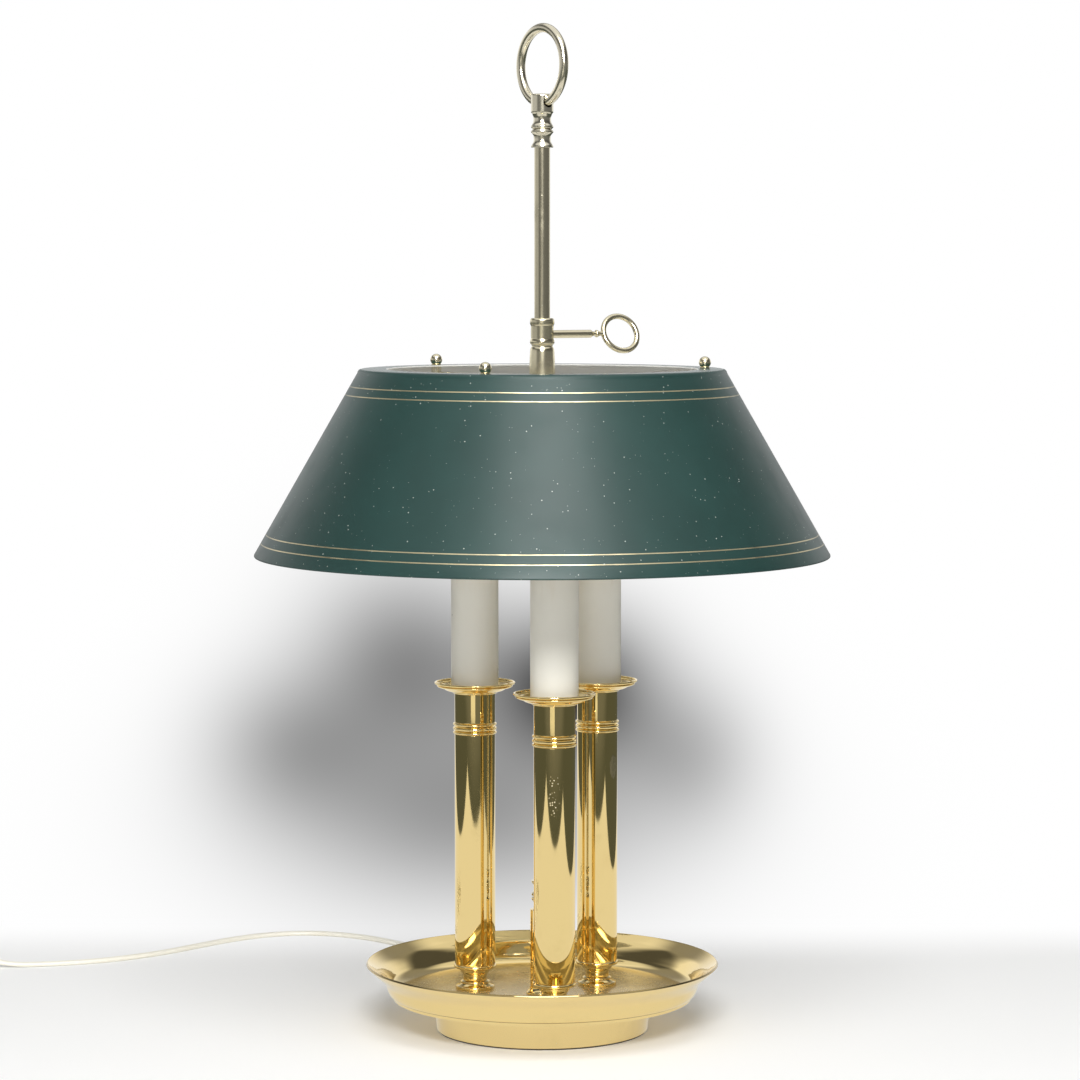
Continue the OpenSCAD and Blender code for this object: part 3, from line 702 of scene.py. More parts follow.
@dataclass(frozen=True)
class DishBrass(Brass):
    """Brass of the dish, whose flat floor is dull with dust and rubbed in rings.

    Args:
        floor_r: radius of the dusty floor.
        floor_z: height up to which dust lies.
        rim_r: radius of the dark line round the rim.
        rim_z: height of that line.
        step_shade_z: height of the painted shade line in the step under the bowl.
        step_shade_r: radii that the painted shade line lies between.
    """

    floor_r: float = 88.0
    floor_z: float = 0.0
    rim_r: float = 0.0
    rim_z: float = 0.0
    step_shade_z: float = 0.0
    step_shade_r: Point = (0.0, 0.0)

    def mix_up(self, desk: Desk) -> None:
        """Builds the nodes."""
        at = desk.place()
        x, y, z = desk.axes(at)
        r = (x * x + y * y) ** 0.5
        torn = desk.cloud(at, 9, 5, 0.7)
        floor = (r + torn * 6.0).over(self.floor_r + 5, self.floor_r - 5)
        floor = floor * z.over(self.floor_z + 0.5, self.floor_z)
        inside = floor * z.over(self.floor_z - 3.2, self.floor_z - 2.8)
        grain = desk.cloud(at, 0.9, 3, 0.7)
        dust = desk.specks(at, 1.3, 0.22, 0.3)
        film = desk.cloud(at, 26, 4).over(0.42, 0.7)
        rings = desk.cloud(desk.node("ShaderNodeCombineXYZ", inputs={0: r * MM, 1: z * MM}), 1.1, 2)
        floor_colour = desk.mix(film, (0.58, 0.46, 0.23), (0.74, 0.6, 0.33))
        colour = desk.mix(desk.cloud(at, 30, 4).over(0.5, 0.85) * self.tarnish, self.tint, self.dull)
        colour = desk.mix(inside, colour, floor_colour)
        colour = desk.mix(inside * dust * 0.5, colour, (0.85, 0.8, 0.68))
        rim = r.over(self.rim_r, self.rim_r + 0.6) * z.over(self.rim_z, self.rim_z + 0.5)
        # Painted shade: a dark line in the step under the bowl, where its groove is in shadow.
        in_step_shade = r.over(self.step_shade_r[0] - 0.3, self.step_shade_r[0]) * r.over(self.step_shade_r[1] + 0.5, self.step_shade_r[1])
        step_shade = z.far_from(self.step_shade_z).over(0.5, 0.25) * in_step_shade
        colour = desk.mix(rim.larger(step_shade) * 0.6, colour, (0.16, 0.11, 0.04))
        smears = desk.cloud(at, 12, 4).over(0.5, 0.8) * self.smear
        desk.skin(
            Base_Color=colour,
            Metallic=1 - inside * 0.35,
            Roughness=smears + rings * 0.03 + inside * (grain * 0.14 + 0.12) + self.rough,
            Normal=desk.bump(rings * 0.1 + inside * grain * 0.15 + inside * dust * 0.6, 0.05, 0.5),
        )


@dataclass(frozen=True)
class ShadePaint(Finish):
    """Satin blue-green paint with two pairs of fine gilt lines and some dust. The lines carry a painted
    highlight, brighter towards the front where light catches them.

    Args:
        low_z: height of the shade's lower edge.
        top_z: height of its flat top.
        top_r: radius of its flat top.
        lines: shares of the slope, down from the top, at which the gilt lines lie.
        line_w: width of a line, up the shade.
        paint: colour of the paint.
        gilt: colour of the lines.
    """

    low_z: float = 0.0
    top_z: float = 0.0
    top_r: float = 0.0
    lines: tuple[float, ...] = (0.090, 0.134, 0.880, 0.928)
    line_w: float = 0.58
    paint: Colour = (0.012, 0.04, 0.035)
    gilt: Colour = (0.8, 0.68, 0.42)

    def mix_up(self, desk: Desk) -> None:
        """Builds the nodes."""
        at = desk.place()
        x, y, z = desk.axes(at)
        r = (x * x + y * y) ** 0.5
        wobble = desk.cloud(at, 60, 1) * 0.3 - 0.15
        gilt: Any = 0.0
        for share in self.lines:
            line_z = self.top_z - share * (self.top_z - self.low_z)
            gilt = (z + wobble).far_from(line_z).over(self.line_w * 0.62, self.line_w * 0.38) + gilt
        gilt = gilt * r.over(self.top_r - 0.5, self.top_r + 0.5)
        # Painted highlight: the gilt lines are brighter towards the front, where light catches them.
        painted_front_light = y.over(20, -105) * 0.82 + 0.18
        gilt_wear_and_light = gilt * (desk.cloud(at, 16, 4).over(0.3, 0.6) * 0.4 + 0.6) * painted_front_light
        cloud = desk.cloud(at, 70, 4)
        colour = desk.mix(cloud.over(0.35, 0.75), self.paint, tuple(c * 1.25 for c in self.paint))
        dust = desk.specks(at, 3, 0.34, 0.16).larger(desk.specks(at, 1.6, 0.17, 0.08))
        colour = desk.mix(gilt_wear_and_light, colour, self.gilt)
        colour = desk.mix(dust * 0.75, colour, (0.62, 0.66, 0.6))
        peel = desk.cloud(at, 1.6, 2)
        desk.skin(
            Base_Color=colour,
            Metallic=gilt_wear_and_light,
            Roughness=desk.cloud(at, 22, 4).over(0.4, 0.8) * 0.06 + 0.4 - gilt_wear_and_light * 0.08,
            IOR=1.5,
            Normal=desk.bump(peel * 0.35 + gilt * 0.6 + dust * 0.9, 0.03, 0.4),
        )


@dataclass(frozen=True)
class Enamel(Finish):
    """Smooth paint or plastic with a faint texture.

    Args:
        colour: its colour.
        stain: its colour where it has aged.
        rough: roughness.
        grain: size of the texture, in millimetres.
        lift: how much the texture stands out, from 0 to 1.
        stained: how much has aged, from 0 to 1.
    """

    colour: Colour = (0.86, 0.84, 0.78)
    stain: Colour = (0.7, 0.62, 0.45)
    rough: float = 0.35
    grain: float = 1.2
    lift: float = 0.2
    stained: float = 0.3

    def mix_up(self, desk: Desk) -> None:
        """Builds the nodes."""
        at = desk.place()
        age = desk.cloud(at, 30, 5, 0.65).over(0.45, 0.85) * self.stained
        grain = desk.cloud(at, self.grain, 3)
        desk.skin(
            Base_Color=desk.mix(age, self.colour, self.stain),
            Roughness=grain * 0.08 + age * 0.1 + self.rough,
            Normal=desk.bump(grain, 0.05, self.lift),
        )


@dataclass(frozen=True)
class CandlePaint(Finish):
    """Cream enamel of a candle sleeve, yellowed and scorched towards its top, and darker there as painted
    shade from the shade above it.

    Args:
        low: height of the sleeve's foot.
        top: height of its rim.
        pinhole: (x, y, z) of a small hole, painted as a dark dot of shade rather than cut, if the sleeve has
            one.
        scorch_and_shade: how dark the top is, from scorching and from painted shade, from 0 to 1.
    """

    low: float = 0.0
    top: float = 0.0
    pinhole: Point | None = None
    scorch_and_shade: float = 0.5

    def mix_up(self, desk: Desk) -> None:
        """Builds the nodes."""
        at = desk.place()
        x, y, z = desk.axes(at)
        torn = desk.cloud(desk.stretched(at, (1, 1, 0.3)), 8, 5, 0.7)
        # Darker towards the top: scorching, and painted shade under the shade.
        heat_and_shade = (z + torn * 26 - 13).over(self.top - 34, self.top + 6)
        runs = desk.cloud(desk.stretched(at, (1, 1, 0.12)), 4, 4).over(0.5, 0.75) * heat_and_shade
        colour = desk.mix(heat_and_shade * 0.55 * self.scorch_and_shade, (0.83, 0.805, 0.72), (0.66, 0.55, 0.36))
        colour = desk.mix(runs * 0.6 * self.scorch_and_shade, colour, (0.5, 0.33, 0.14))
        foot = (z + torn * 2).over(self.low + 4.5, self.low + 0.5)
        colour = desk.mix(foot * 0.25, colour, (0.6, 0.5, 0.33))
        # The hole is not cut: its dark, shadowed inside is painted as a dot.
        if self.pinhole:
            u, v, w = (axis - c for axis, c in zip((x, y, z), self.pinhole))
            far = (u**2 + v**2 + w**2) ** 0.5
            colour = desk.mix(far.over(0.55, 0.3), colour, (0.03, 0.025, 0.02))
        skin = desk.cloud(at, 3, 3)
        desk.skin(
            Base_Color=colour,
            Roughness=skin * 0.06 + heat_and_shade * 0.1 + 0.3,
            Coat_Weight=0.2,
            Coat_Roughness=0.2,
            Normal=desk.bump(skin * 0.5 + runs * 0.3, 0.05, 0.35),
        )


@dataclass(frozen=True)
class Felt(Finish):
    """Short matted wool.

    Args:
        colour: its colour in the shade between the fibres.
    """

    colour: Colour = (0.045, 0.035, 0.025)

    def mix_up(self, desk: Desk) -> None:
        """Builds the nodes."""
        wool = desk.cloud(desk.place(), 0.7, 6, 0.8)
        desk.skin(
            Base_Color=desk.mix(wool.over(0.35, 0.7), self.colour, tuple(c * 2.2 for c in self.colour)),
            Roughness=0.95,
            Sheen_Weight=0.4,
            Normal=desk.bump(wool, 0.4, 0.8),
        )


@dataclass(frozen=True)
class PearlGlass(Finish):
    """White pearl glass of a small lamp."""

    def mix_up(self, desk: Desk) -> None:
        """Builds the nodes."""
        haze = desk.cloud(desk.place(), 12, 3)
        desk.skin(
            Base_Color=desk.mix(haze, (0.9, 0.88, 0.82), (0.96, 0.95, 0.92)),
            Roughness=haze * 0.06 + 0.12,
            Transmission_Weight=0.35,
            IOR=1.46,
        )


@dataclass(frozen=True)
class Plated(Finish):
    """Plated or cast metal with a fine grain.

    Args:
        tint: the metal's colour.
        rough: roughness.
        grain: size of its grain, in millimetres.
        lift: how much the grain stands out.
    """

    tint: Colour = (0.6, 0.59, 0.56)
    rough: float = 0.25
    grain: float = 0.6
    lift: float = 0.25

    def mix_up(self, desk: Desk) -> None:
        """Builds the nodes."""
        at = desk.place()
        grain = desk.cloud(at, self.grain, 4, 0.65)
        film = desk.cloud(at, 9, 4)
        desk.skin(
            Base_Color=desk.mix(film.over(0.45, 0.8) * 0.5, self.tint, tuple(c * 0.6 for c in self.tint)),
            Metallic=1.0,
            Roughness=grain * 0.15 + film * 0.08 + self.rough,
            Normal=desk.bump(grain, 0.1, self.lift),
        )


def tube_brass(number: int, pits: float = 0.02, **marks: Point) -> Brass:
    """Clean, bright brass of one column's tube, with the marks that it alone has."""
    return Brass(f"tube_brass_{number}", "brass", rough=0.03, smear=0.05, pits=pits, **marks)


def satin_brass(name: str, tint: Colour, dull: Colour, rough: float, **others: Any) -> Brass:
    """Paler, handled brass of the pieces on the long rod."""
    values = {"smear": 0.08, "tarnish": 0.5, "wave": 0.12, **others}
    return Brass(name, "rod_brass", tint, dull, rough, **values)


def candle_paint(number: int, scorch_and_shade: float, pinhole: Point | None = None) -> CandlePaint:
    """Enamel of one candle sleeve."""
    return CandlePaint(f"candle_paint_{number}", "candle", scorch_and_shade=scorch_and_shade, pinhole=pinhole)


@dataclass(frozen=True)
class Palette:
    """Every finish of the lamp. Sub-assemblies add the heights and radii that some follow."""

    brass: Finish = Brass("polished_brass", "brass")
    tubes: tuple[Finish, ...] = (
        tube_brass(1, 0.03, spots=(7.4, -57.0, 156.0)),
        tube_brass(2, smudge=(44.8, 21.0, 162.0)),
        tube_brass(3),
    )
    # The rear candles' tops are darker: painted shade, as well as scorching.
    candles: tuple[CandlePaint, ...] = (
        candle_paint(1, 0.35),
        candle_paint(2, 0.9),
        candle_paint(3, 0.7, (-56.15, 10.96, 259.0)),
    )
    ring: Finish = satin_brass("ring_brass", (0.84, 0.78, 0.61), (0.5, 0.45, 0.32), 0.2, tarnish=0.55)
    sleeve: Finish = satin_brass("sleeve_brass", (0.82, 0.75, 0.54), (0.5, 0.45, 0.3), 0.2)
    rod: Finish = satin_brass(
        "rod_brass_finish", (0.7, 0.64, 0.47), (0.45, 0.4, 0.27), 0.17, drawn=True, wave=0.15
    )
    turned: Finish = satin_brass("turned_brass_finish", (0.8, 0.75, 0.59), (0.48, 0.44, 0.31), 0.18)
    pans: Finish = Brass("pan_brass_finish", "pan_brass", tarnish=0.3, wave=0.1)
    foot: Finish = Brass("foot_brass", "pale_brass", (0.9, 0.71, 0.34), rough=0.09, smear=0.1, tarnish=0.2)
    dish: DishBrass = DishBrass("dish_brass_finish", "dish_brass", rough=0.05, smear=0.06, tarnish=0.2)
    paint: ShadePaint = ShadePaint("shade_paint_finish", "shade_paint")
    inner: Finish = Enamel(
        "shade_white_inside", "shade_paint", (0.6, 0.6, 0.575), (0.47, 0.45, 0.39), 0.55, lift=0.25
    )
    top: Finish = Enamel(
        "shade_top_paint", "shade_paint", (0.02, 0.06, 0.055), (0.035, 0.085, 0.078), 0.22, 1.6
    )
    lip: Finish = Enamel("shade_lip_paint", "shade_paint", (0.72, 0.72, 0.68), (0.5, 0.52, 0.46), 0.4)
    felt: Finish = Felt("foot_felt", "felt")
    iron: Finish = Plated("cast_iron", "iron", (0.1, 0.1, 0.1), 0.5, 1.4, 0.8)
    zinc: Finish = Plated("zinc_plate", "zinc", (0.55, 0.55, 0.52), 0.3)
    nickel: Finish = Plated("nickel_plate", "nickel", (0.68, 0.64, 0.58), 0.16)
    rubber: Finish = Enamel(
        "moulded_rubber", "black_rubber", (0.02, 0.02, 0.02), (0.05, 0.05, 0.048), 0.55, 0.8, 0.5
    )
    flex: Finish = Enamel("cord_plastic", "cord", (0.9, 0.87, 0.76), (0.78, 0.7, 0.54), 0.32, 2.5, 0.3, 0.4)
    ivory: Finish = Enamel(
        "ivory_plastic", "white_plastic", (0.8, 0.77, 0.67), (0.68, 0.6, 0.44), 0.3, 0.9, 0.25, 0.35
    )
    rocker: Finish = Enamel(
        "rocker_plastic", "white_plastic", (0.72, 0.68, 0.56), (0.6, 0.52, 0.36), 0.26, 0.8, 0.15
    )
    tie: Finish = Enamel("tie_plastic", "cord", (0.75, 0.73, 0.66), (0.6, 0.56, 0.45), 0.4, 1.5)
    wire: Finish = Enamel("wire_plastic", "wire", (0.6, 0.5, 0.32), (0.5, 0.38, 0.2), 0.4)
    glass: Finish = PearlGlass("pearl_glass", "lamp_glass")


FINISH = Palette()


def ridden(piece: Thing, slot: str, body: Body, *nodes: str) -> Thing:
    """Rides a piece on its body and lets it stand for CAD nodes.

    Args:
        piece: the piece.
        slot: the record's material slot it belongs to.
        body: the body it moves with.
        nodes: the CAD nodes it replaces.

    Returns:
        The piece.
    """
    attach(piece, body.value)
    if nodes:
        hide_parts(*nodes)
    log.info("%s: in slot %s, on %s", piece.name, slot, body.value)
    return piece


def finished(piece: Thing, finish: Finish, body: Body, *nodes: str) -> Thing:
    """Dresses a piece, rides it on its body and lets it stand for CAD nodes.

    Args:
        piece: the piece.
        finish: what it is made of.
        body: the body it moves with.
        nodes: the CAD nodes it replaces.

    Returns:
        The piece.
    """
    piece.data.materials.clear()
    piece.data.materials.append(finish.made())
    return ridden(piece, finish.slot, body, *nodes)


def kept(finish: Finish, *nodes: str) -> None:
    """Gives CAD nodes that stay as they are their finish.

    Args:
        finish: what they are made of.
        nodes: their names.
    """
    for name in nodes:
        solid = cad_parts[name]
        if not solid.material_slots:
            solid.data.materials.append(None)
        for slot in solid.material_slots:
            slot.material = finish.made()
        log.info("%s: %s, carried over", name, finish.name)


# ---- Sub-assemblies ----


class SubAssembly:
    """A sub-assembly of the lamp, which first builds its meshes and then dresses them."""

    def build(self) -> None:
        """Makes the meshes."""
        raise NotImplementedError

    def dress(self) -> None:
        """Gives each piece its finish and its body."""
        raise NotImplementedError


@dataclass
class MainsCord(SubAssembly):
    """The flat twin cord, from the foot to the switch and on to the plug."""

    width: float = 6.0
    thick: float = 3.0
    exit: Point = (0.0, 90.0, 8.0)
    after_switch: Point = (-451.0, 200.0, 8.0)
    coil_at: Point = (-462.5, 136.0)
    coil_r: float = 39.5
    coil_step: float = 4.8
    turns: int = 5
    per_turn: int = 24
    low: float = 3.1
    layer: float = 6.7
    lead: float = 50.0
    plug_z: float = 6.8
    tie_turn: float = 28.0
    tie_sheet: float = 0.25
    twist_l: float = 9.0
    twist_turn: float = 14.0
    first_run: tuple[Point, ...] = (
        (0, 90, 8, 0), (0, 102, 7.6, 0), (-2, 118, 5, 0), (-7, 137, 2.3, 0), (-16, 158, 1.6, 0),
        (-29, 182, 1.6, 0), (-45, 206, 1.6, 0), (-63, 231, 1.6, 0), (-82, 256, 1.6, 0),
        (-102, 280, 1.6, 0), (-123, 301, 1.6, 0), (-147, 315, 1.6, 0), (-172, 319, 1.6, 0),
        (-197, 311, 1.6, 0), (-219, 294, 1.6, 0), (-239, 272, 1.6, 0), (-259, 249, 1.6, 0),
        (-282, 229, 1.6, 0), (-307, 214, 1.6, 0), (-334, 205, 1.6, 0), (-358, 201, 2, 0),
        (-377, 200, 5.4, 0), (-395, 200, 8, 0),
    )
    second_run: tuple[Point, ...] = (
        (-451, 200, 8, 0), (-464, 200, 7.2, 0), (-478, 197, 5, 0), (-491, 190, 3.6, 20),
        (-499, 178, 3.2, 50), (-502, 164, 3.1, 80),
    )

    def section(self) -> Outline:
        """Outline of the cord: two round lobes with a groove between them."""
        r = self.thick / 2
        groove = r * 0.66
        return [*bead(r, 0, r, -125, 125), (0, groove), *bead(-r, 0, r, 55, 305), (0, -groove)]

    def coil(self) -> list[Point]:
        """Works out the coil, which climbs to a second layer half way, and the lead to the plug.

        Returns:
            Points of (x, y, z, turn) from the coil's start.
        """
        x0, y0 = self.coil_at
        half, climb, high, steps = self.turns / 2, 0.34, self.low + self.layer, 6
        out: list[Point] = [(x0 - self.coil_r, y0 + d, self.low, 90) for d in (14, 7)]
        for k in range(self.turns * self.per_turn + 1):
            q = k / self.per_turn
            a = math.radians(180 + 360 * q)
            r = self.coil_r - self.coil_step * (half - abs(q - half))
            t = min(max((q - half) / climb + 0.5, 0), 1)
            z = self.low + self.layer * t * t * (3 - 2 * t)
            out.append((x0 + r * math.cos(a), y0 + r * math.sin(a), z, 90))
        for k in range(1, steps + 1):
            fall = (1 + math.cos(math.radians(60 * min(max(k - 2, 0), 3)))) / 2
            z = self.plug_z + (high - self.plug_z) * fall
            out.append((x0 - self.coil_r, y0 - self.lead * k / steps, z, 90))
        return out

    def build(self) -> None:
        """Sweeps both lengths of cord and makes the tie that holds the coil."""
        self.ways = [smooth_way(self.first_run, 5), smooth_way([*self.second_run, *self.coil()], 3)]
        self.cords = [sweep(f"mains_cord_{i}", way, self.section()) for i, way in enumerate(self.ways, 1)]
        self.tie = self.coil_tie(shift(*self.coil_at, 0) @ turn("Z", self.tie_turn))

    def coil_tie(self, place: Matrix) -> Thing:
        """Makes the flat tie round the coil's turns, with its twisted ends.

        Args:
            place: the coil's middle, turned so that +X points to the tie.

        Returns:
            The tie.
        """
        lowest, flattened = 0.28, 0.5
        inner = self.coil_r - self.turns / 2 * self.coil_step - 3.2
        outer, top = self.coil_r + 2.3, self.low + self.layer + 3.6
        corners = [(inner, lowest, 4), (outer, lowest, 4), (outer, top, 3), (inner, top, 3)]
        across = [(-1, -2.2), (1, -2.2), (1.3, 0), (1, 2.2), (-1, 2.2), (-0.7, 0)]
        middle = Vector(((inner + outer) / 2, top / 2))
        levels = []
        for r, z in softened(corners, 6):
            out = (Vector((r, z)) - middle).normalized() * self.tie_sheet
            thin = flattened if z < 1 else 1.0
            ring = ((r + out.x * s * thin, w, z + out.y * s * thin) for s, w in across)
            levels.append([place @ Vector(p) for p in ring])
        verts = [p for level in levels for p in level]
        band = mesh_piece("band", verts, quads(len(levels), len(across), True), 60)
        ends = []
        for k in range(19):
            t = k / 18
            at = Vector((middle.x + t * self.twist_l, 0, top + 0.2 + 1.1 * math.sin(t * 3)))
            c, s = math.cos(t * self.twist_turn), math.sin(t * self.twist_turn)
            strip = ((-1.5, -0.3), (1.5, -0.3), (1.5, 0.3), (-1.5, 0.3))
            ends.append([place @ (at + Vector((0, u * c - v * s, u * s + v * c))) for u, v in strip])
        return joined("coil_tie", band, stacked("ends", ends, 60))

    def dress(self) -> None:
        """Gives the cords and the tie their plastic."""
        finished(self.cords[0], FINISH.flex, Body.LAMP, "supply_cord")
        finished(self.cords[1], FINISH.flex, Body.LAMP, "switch_cord", "cord_coil")
        finished(self.tie, FINISH.tie, Body.LAMP)

    def declare(self, switch: Sequence[Thing], plug: Sequence[Thing]) -> None:
        """Works out each length's path and start in metres, but does nothing with them.

        Args:
            switch: the switch's pieces; not used.
            plug: the plug's pieces; not used.
        """
        ends = (
            (self.exit, "fitting", "loose", switch),
            (self.after_switch, "plug", "coiled", [*plug, self.tie]),
        )
        for made, way, (leaves, far, lay, pieces) in zip(self.cords, self.ways, ends):
            path = [[c * MM for c in p[:3]] for p in way]
            [c * MM for c in leaves]


@dataclass
class CordSwitch(SubAssembly):
    """The switch on the cord: a case in two halves and a rocker."""

    centre: Point = (-423.0, 200.0)
    length: float = 56.0
    width: float = 27.0
    height: float = 19.0
    split: float = 8.55
    rocker_l: float = 15.0
    rocker_w: float = 10.0
    rocker_z: float = 15.5
    rocker_gap: float = 0.4
    swing: float = 16.0
    pin_r: float = 0.97
    pin_l: float = 12.4
    screw_at: float = 16.0
    screw_r: float = 2.6
    well_r: float = 3.0
    well_deep: float = 1.2
    slot_w: float = 0.7

    def level(self, z: float, inset: float) -> list[Point]:
        """Works out the case's outline.

        Args:
            z: the height.
            inset: how far the outline is drawn in.

        Returns:
            The outline, as round-ended as the case.
        """
        r, reach = self.width / 2 - inset, (self.length - self.width) / 2
        x, y = self.centre
        right = bead(reach, 0, r, -90, 90, 22)
        return [(x + u, y + v, z) for u, v in [*right, *((-u, -v) for u, v in right)]]

    def build(self) -> None:
        """Makes the halves, the screws and the rocker."""
        x, y = self.centre
        s, h = self.split, self.height
        low = [
            (0, 2.2), (0.12, 1.3), (0.5, 0.55), (1.2, 0.12), (2.2, 0),
            (s - 0.35, 0), (s - 0.08, 0.22), (s, 0.5),
        ]
        high = [
            (s, 0.5), (s + 0.08, 0.22), (s + 0.35, 0),
            (h - 4.2, 0), (h - 2.4, 0.35), (h - 1.1, 1.2), (h - 0.3, 2.7), (h, 4.6),
        ]
        lower = stacked("switch_case_lower", [self.level(*p) for p in low])
        upper = stacked("switch_case_upper", [self.level(*p) for p in high])
        half_l, half_w = self.rocker_l / 2 + self.rocker_gap, self.rocker_w / 2 + self.rocker_gap
        opening = block("opening", (x - half_l, y - half_w, s + 2), (x + half_l, y + half_w, h + 2))
        self.upper = cut(upper, opening)
        screws_at = [(x - self.screw_at, y), (x + self.screw_at, y)]
        self.lower = cut(lower, *(rod("well", self.well_r, -1, self.well_deep, at, 40) for at in screws_at))
        self.screws = joined("switch_screws", *(self.screw(*at) for at in screws_at))
        self.rocker = self.rocker_piece(shift(x, y, self.rocker_z) @ turn("Y", self.swing / 2))

    def rocker_piece(self, place: Matrix) -> Thing:
        """Makes the rocker, tipped to one side, with its pin and the dots on its face.

        Args:
            place: the middle of its pin.

        Returns:
            The rocker.
        """
        half, w = self.rocker_l / 2, self.rocker_w / 2
        face = [(0.3 - half, 3.5), (-half * 0.66, 3.25), (-half * 0.33, 2.95), (0, 2.85)]
        face += [(-u, v) for u, v in reversed(face[:-1])]
        under = [(half - 0.15, 2.4), (half - 0.6, 0), (3, -3)]
        under += [(-u, v) for u, v in reversed(under)]
        middle = Vector((0, 0.4))
        levels = []
        for v, inset in ((-w, 0.5), (0.14 - w, 0.16), (0.5 - w, 0), (w - 0.5, 0), (w - 0.14, 0.16), (w, 0.5)):
            drawn = [Vector(p) - (Vector(p) - middle).normalized() * inset for p in (*face, *under)]
            levels.append([place @ Vector((p.x, v, p.y)) for p in drawn])
        body = stacked("rocker_body", levels, 50)
        dot = [(0, 3.0), (0.42, 3.0), (0.4, 3.45), (0.2, 3.6), (0, 3.62)]
        dots = [
            moved(lathe("dot", dot, (u, v), 16, False), place)
            for u in (-5.6, -4.4, 4.4, 5.6)
            for v in (-2.4, 0, 2.4)
        ]
        pin = rod("pin", self.pin_r, -self.pin_l / 2, self.pin_l / 2, around=24)
        return joined("switch_rocker_piece", body, moved(moved(pin, Axis.Y.lay()), place), *dots)

    def screw(self, x: float, y: float) -> Thing:
        """Makes a small slotted screw in its well, under the case.

        Args:
            x: its axis, across.
            y: its axis, back.

        Returns:
            The screw.
        """
        r, half = self.screw_r, self.slot_w / 2
        outline = [(0, 0.45), (r - 0.3, 0.45), (r, 0.75), (r, 1.25), (0, 1.25)]
        slot = block("slot", (x - self.well_r, y - half, 0.2), (x + self.well_r, y + half, 0.9))
        return cut(lathe("screw", outline, (x, y), 40, False), slot)

    def dress(self) -> None:
        """Dresses the case, the screws and the rocker."""
        finished(self.lower, FINISH.ivory, Body.LAMP, "switch_lower")
        finished(self.upper, FINISH.ivory, Body.LAMP, "switch_upper")
        finished(self.screws, FINISH.zinc, Body.LAMP)
        finished(self.rocker, FINISH.rocker, Body.ROCKER, "switch_rocker")


@dataclass
class Plug(SubAssembly):
    """The moulded plug, its ribbed sleeve and its pins."""

    at: Point = (
        MainsCord.coil_at[0] - MainsCord.coil_r, MainsCord.coil_at[1] - MainsCord.lead, MainsCord.plug_z
    )
    relief: float = 22.0
    length: float = 34.0
    width: float = 35.0
    thick: float = 13.6
    ribs: int = 6
    rib_step: float = 3.2
    grips: int = 5
    grip_from: float = 33.0
    grip_step: float = 2.6
    sides: int = 64

    def section(self, s: float, half_w: float, half_h: float, square: float) -> list[Point]:
        """Works out the plug's outline across the cord, which is a squared circle.

        Args:
            s: distance from the start of the sleeve.
            half_w: half the outline's width.
            half_h: half its height.
            square: 2 for a round outline, and more for a squarer one.

        Returns:
            The outline's points.
        """
        x, y, z = self.at
        out = []
        for k in range(self.sides):
            a = math.radians(360 * (k + 0.5) / self.sides)
            c, q = math.cos(a), math.sin(a)
            u = math.copysign(abs(c) ** (2 / square), c) * half_w
            v = math.copysign(abs(q) ** (2 / square), q) * half_h
            out.append((x + u, y - s, z + v))
        return out

    def build(self) -> None:
        """Makes the body, with ribs along its sleeve and a grip on both faces."""
        sleeve: list[Point] = []
        for k in range(self.ribs):
            s, r = 0.3 + k * self.rib_step, 3.75 + k * 0.26
            for along, out in ((0, -0.5), (0.25, 0), (2.0, 0.08), (2.25, -0.6), (2.9, -0.6)):
                sleeve.append((s + along, r + out, r + out, 2))
        w, t, end = self.width / 2, self.thick / 2, self.relief + self.length
        grip: list[Point] = []
        for k in range(self.grips):
            s, wide = self.grip_from + k * self.grip_step, w - 0.75 + 0.1 * k
            grip += [(s, wide, t, 4), (s + 1.0, wide, t, 4)]
            grip += [(s + 1.3, w - 1.2, t - 0.45, 4), (s + 2.1, w - 1.2, t - 0.45, 4)]
        body = [
            (19.6, 5.4, 5.3, 2), (21, 6.0, 5.8, 2.2), (24, 8.2, 6.3, 2.5), (28, 11.8, 6.6, 3),
            (31.5, 15, t, 3.6), *grip, (46.5, w, t, 4), (end - 4, w, t, 4),
            (end - 1.6, w - 0.35, t - 0.2, 4), (end - 0.5, w - 1.0, t - 0.7, 4), (end, w - 2, t - 1.6, 4),
        ]
        self.body = stacked("plug_shell", [self.section(*p) for p in [*sleeve, *body]], 34)

    def dress(self) -> None:
        """Dresses the plug and its pins."""
        finished(self.body, FINISH.ivory, Body.LAMP, "plug_body")
        kept(FINISH.nickel, "plug_pins")


